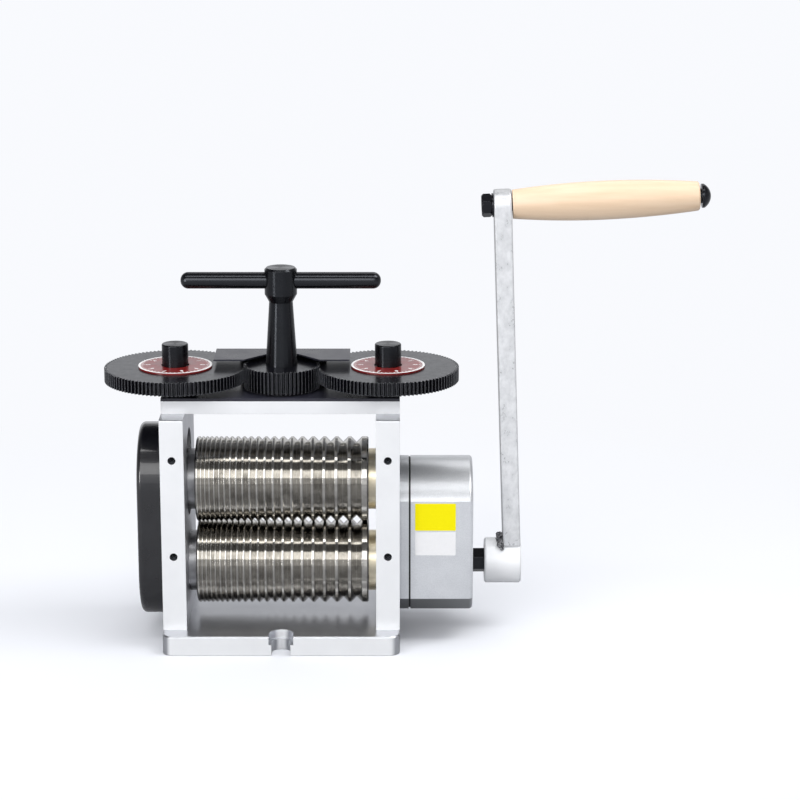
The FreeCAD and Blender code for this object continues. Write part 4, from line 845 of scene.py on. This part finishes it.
def lathe_blank(name, radius, length, sides):
    """A closed prism on the bolt's line, centred on the nut, turned so a hexagon has a corner on top."""
    bpy.ops.mesh.primitive_cylinder_add(vertices=sides, radius=radius, depth=length,
                                        location=middle("handle_nut"))
    piece = bpy.context.active_object
    piece.rotation_mode = "ZYX"
    piece.rotation_euler = (0.0, math.pi / 2 - GRIP_LEAN, CORNER_UP)
    piece.name = name
    return piece


def chamfered_nut(name):
    """The bolt's hexagon nut with both ends turned off to a cone at its corners."""
    corner = NUT_FLATS / math.sqrt(3)
    nut = lathe_blank(name, corner, NUT_HEIGHT, 6)
    turned = lathe_blank("nut_turning", corner * PAST_CORNER, NUT_HEIGHT, TURNED_SIDES)
    bpy.ops.object.mode_set(mode="EDIT")
    bpy.ops.mesh.select_all(action="DESELECT")
    bpy.ops.mesh.select_mode(type="FACE")
    mesh = bmesh.from_edit_mesh(turned.data)
    for face in mesh.faces:
        face.select = len(face.verts) > 4
    mesh.select_flush_mode()
    bmesh.update_edit_mesh(turned.data)
    bpy.ops.mesh.bevel(offset=NUT_CHAMFER, segments=1, affect="EDGES")
    bpy.ops.object.mode_set(mode="OBJECT")
    bore = lathe_blank("nut_drill", NUT_BORE, NUT_HEIGHT * 2, BORE_SIDES)
    bpy.context.view_layer.update()
    for cutter, kind in ((turned, "INTERSECT"), (bore, "DIFFERENCE")):
        cut = nut.modifiers.new("cut", "BOOLEAN")
        cut.object = cutter
        cut.operation = kind
        cut.solver = "EXACT"
        bpy.context.view_layer.objects.active = nut
        bpy.ops.object.modifier_apply(modifier=cut.name)
        bpy.data.objects.remove(cutter)
    piece = join_as(name, [nut])
    piece.rotation_mode = "XYZ"
    piece.data.materials.clear()
    piece.data.materials.append(fastener_finish)
    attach(piece, "crank")
    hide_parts("handle_nut")


chamfered_nut("chamfered_nut")


# ---------------------------------------------------------------- floor, light and camera
# A pale sweep in a room that lights evenly but mirrors darker overhead and at its sides. The floor shows
# near white to the camera, partly so in mirrors, and keeps some of the soft shadow.

PALE = (0.945, 0.957, 0.990)
FLOOR_HALF = 12.0
FLOOR_DROP = 0.0002
FLOOR_SEEN = (0.82, 0.835, 0.875)
FLOOR_LIGHTING = (0.35, 0.355, 0.37)
SHARE_NEAR = 0.05
SHARE_MIRRORED = 0.32
SHADOW_START = 0.10
SHADOW_END = 0.55
ROOM_LIGHT = 0.66
CEILING = 0.12
SIDES_FROM, SIDES_TO, SIDE_WALLS = 0.35, 0.75, 0.35
WALL_LEVELS = ((0.20, 1.0), (0.29, 0.95), (0.37, 0.42), (0.60, 0.26))
LAMP_TARGET = Vector((0.0, 0.0, 0.10))
CAMERA_SENSOR = 36.0
CAMERA_LENS = 118.885
CAMERA_REACH = 100.0
CAMERA_DOWN = math.radians(14.618)
CAMERA_AT = (0.07526, -1.63179, 0.57815)


def seen_directly(tree_nodes, links, mirrored):
    """1 for what the camera or glass looks at, a share for a mirror, 0 for what only lights things."""
    path = tree_nodes.new("ShaderNodeLightPath")
    first = tree_nodes.new("ShaderNodeMath")
    first.operation = "MAXIMUM"
    links.new(path.outputs["Is Camera Ray"], first.inputs[0])
    links.new(path.outputs["Is Transmission Ray"], first.inputs[1])
    second = tree_nodes.new("ShaderNodeMath")
    second.operation = "MULTIPLY_ADD"
    second.inputs[1].default_value = mirrored
    links.new(path.outputs["Is Glossy Ray"], second.inputs[0])
    links.new(first.outputs["Value"], second.inputs[2])
    return second.outputs["Value"]


bpy.ops.mesh.primitive_plane_add(size=2 * FLOOR_HALF, location=(0.0, 0.0, -FLOOR_DROP))
floor = bpy.context.active_object
floor.name = "floor"
material, tree_nodes, links, principled = shader("pale_floor")
path = tree_nodes.new("ShaderNodeLightPath")
links.new(ramp(tree_nodes, links, path.outputs["Is Camera Ray"],
               [(0.0, FLOOR_LIGHTING), (1.0, FLOOR_SEEN)]), principled.inputs["Base Color"])
principled.inputs["Roughness"].default_value = 0.9
principled.inputs["Specular IOR Level"].default_value = 0.0
glow = tree_nodes.new("ShaderNodeEmission")
glow.inputs["Color"].default_value = (*PALE, 1.0)
place = tree_nodes.new("ShaderNodeTexCoord")
reach = tree_nodes.new("ShaderNodeVectorMath")
reach.operation = "LENGTH"
links.new(place.outputs["Object"], reach.inputs[0])
fade = tree_nodes.new("ShaderNodeMapRange")
fade.inputs["From Min"].default_value = SHADOW_START
fade.inputs["From Max"].default_value = SHADOW_END
fade.inputs["To Min"].default_value = SHARE_NEAR
fade.inputs["To Max"].default_value = 1.0
links.new(reach.outputs["Value"], fade.inputs["Value"])
both = tree_nodes.new("ShaderNodeMixShader")
share = tree_nodes.new("ShaderNodeMath")
share.operation = "MULTIPLY"
links.new(seen_directly(tree_nodes, links, SHARE_MIRRORED), share.inputs[0])
links.new(fade.outputs["Result"], share.inputs[1])
links.new(share.outputs["Value"], both.inputs["Fac"])
links.new(principled.outputs["BSDF"], both.inputs[1])
links.new(glow.outputs["Emission"], both.inputs[2])
links.new(both.outputs["Shader"], tree_nodes["Material Output"].inputs["Surface"])
floor.data.materials.append(material)

world = bpy.data.worlds.new("room")
bpy.context.scene.world = world
world.use_nodes = True
room = world.node_tree
background = room.nodes["Background"]
background.inputs["Color"].default_value = (*PALE, 1.0)
heading = room.nodes.new("ShaderNodeTexCoord")
split = room.nodes.new("ShaderNodeSeparateXYZ")
room.links.new(heading.outputs["Generated"], split.inputs["Vector"])
walls = room.nodes.new("ShaderNodeValToRGB")
walls.color_ramp.elements[0].position = 0.0
walls.color_ramp.elements[0].color = (*WHITE, 1.0)
walls.color_ramp.elements[1].position = 1.0
walls.color_ramp.elements[1].color = (CEILING, CEILING, CEILING, 1.0)
for position, level in WALL_LEVELS:
    element = walls.color_ramp.elements.new(position)
    element.color = (level, level, level, 1.0)
room.links.new(split.outputs["Z"], walls.inputs["Fac"])
sideways = room.nodes.new("ShaderNodeMath")
sideways.operation = "ABSOLUTE"
room.links.new(split.outputs["X"], sideways.inputs[0])
sides = room.nodes.new("ShaderNodeMapRange")
sides.inputs["From Min"].default_value = SIDES_FROM
sides.inputs["From Max"].default_value = SIDES_TO
sides.inputs["To Min"].default_value = 1.0
sides.inputs["To Max"].default_value = SIDE_WALLS
room.links.new(sideways.outputs["Value"], sides.inputs["Value"])
shaded = room.nodes.new("ShaderNodeMath")
shaded.operation = "MULTIPLY"
room.links.new(walls.outputs["Color"], shaded.inputs[0])
room.links.new(sides.outputs["Result"], shaded.inputs[1])
ray = room.nodes.new("ShaderNodeLightPath")
graded = room.nodes.new("ShaderNodeMix")
graded.inputs["A"].default_value = ROOM_LIGHT
room.links.new(ray.outputs["Is Glossy Ray"], graded.inputs["Factor"])
room.links.new(shaded.outputs["Value"], graded.inputs["B"])
strength = room.nodes.new("ShaderNodeMix")
strength.inputs["B"].default_value = 1.0
room.links.new(seen_directly(room.nodes, room.links, 0.0), strength.inputs["Factor"])
room.links.new(graded.outputs["Result"], strength.inputs["A"])
room.links.new(strength.outputs["Result"], background.inputs["Strength"])


def softbox(name, azimuth, height, distance, wide, tall, brightness):
    """An oblong area lamp aimed at the mill, at so many degrees round from the front and up."""
    turn, lift = math.radians(azimuth), math.radians(height)
    out = Vector((math.sin(turn) * math.cos(lift), -math.cos(turn) * math.cos(lift), math.sin(lift)))
    lamp = bpy.data.lights.new(name, "AREA")
    lamp.shape = "RECTANGLE"
    lamp.size = wide
    lamp.size_y = tall
    lamp.energy = brightness * math.pi * wide * tall
    holder = bpy.data.objects.new(name, lamp)
    bpy.context.scene.collection.objects.link(holder)
    holder.rotation_euler = (-out).to_track_quat("-Z", "Y").to_euler()
    holder.location = LAMP_TARGET + out * distance


softbox("front_box", azimuth=-14.0, height=30.0, distance=2.2, wide=2.20, tall=0.90, brightness=2.9)
softbox("left_strip", azimuth=-46.0, height=9.0, distance=2.0, wide=0.42, tall=0.70, brightness=11.0)
softbox("overhead_strip", azimuth=-6.0, height=71.0, distance=1.5, wide=1.9, tall=0.20, brightness=4.2)
softbox("side_fill", azimuth=80.0, height=56.0, distance=1.8, wide=0.8, tall=0.8, brightness=5.5)
softbox("back_wash", azimuth=165.0, height=50.0, distance=1.8, wide=1.0, tall=0.8, brightness=1.2)

camera_data = bpy.data.cameras.new("camera")
camera_data.sensor_width = CAMERA_SENSOR
camera_data.lens = CAMERA_LENS
camera_data.clip_end = CAMERA_REACH
camera = bpy.data.objects.new("camera", camera_data)
bpy.context.scene.collection.objects.link(camera)
camera.location = CAMERA_AT
camera.rotation_euler = (math.pi / 2 - CAMERA_DOWN, 0.0, 0.0)
bpy.context.scene.camera = camera
bpy.context.scene.view_settings.view_transform = "Standard"
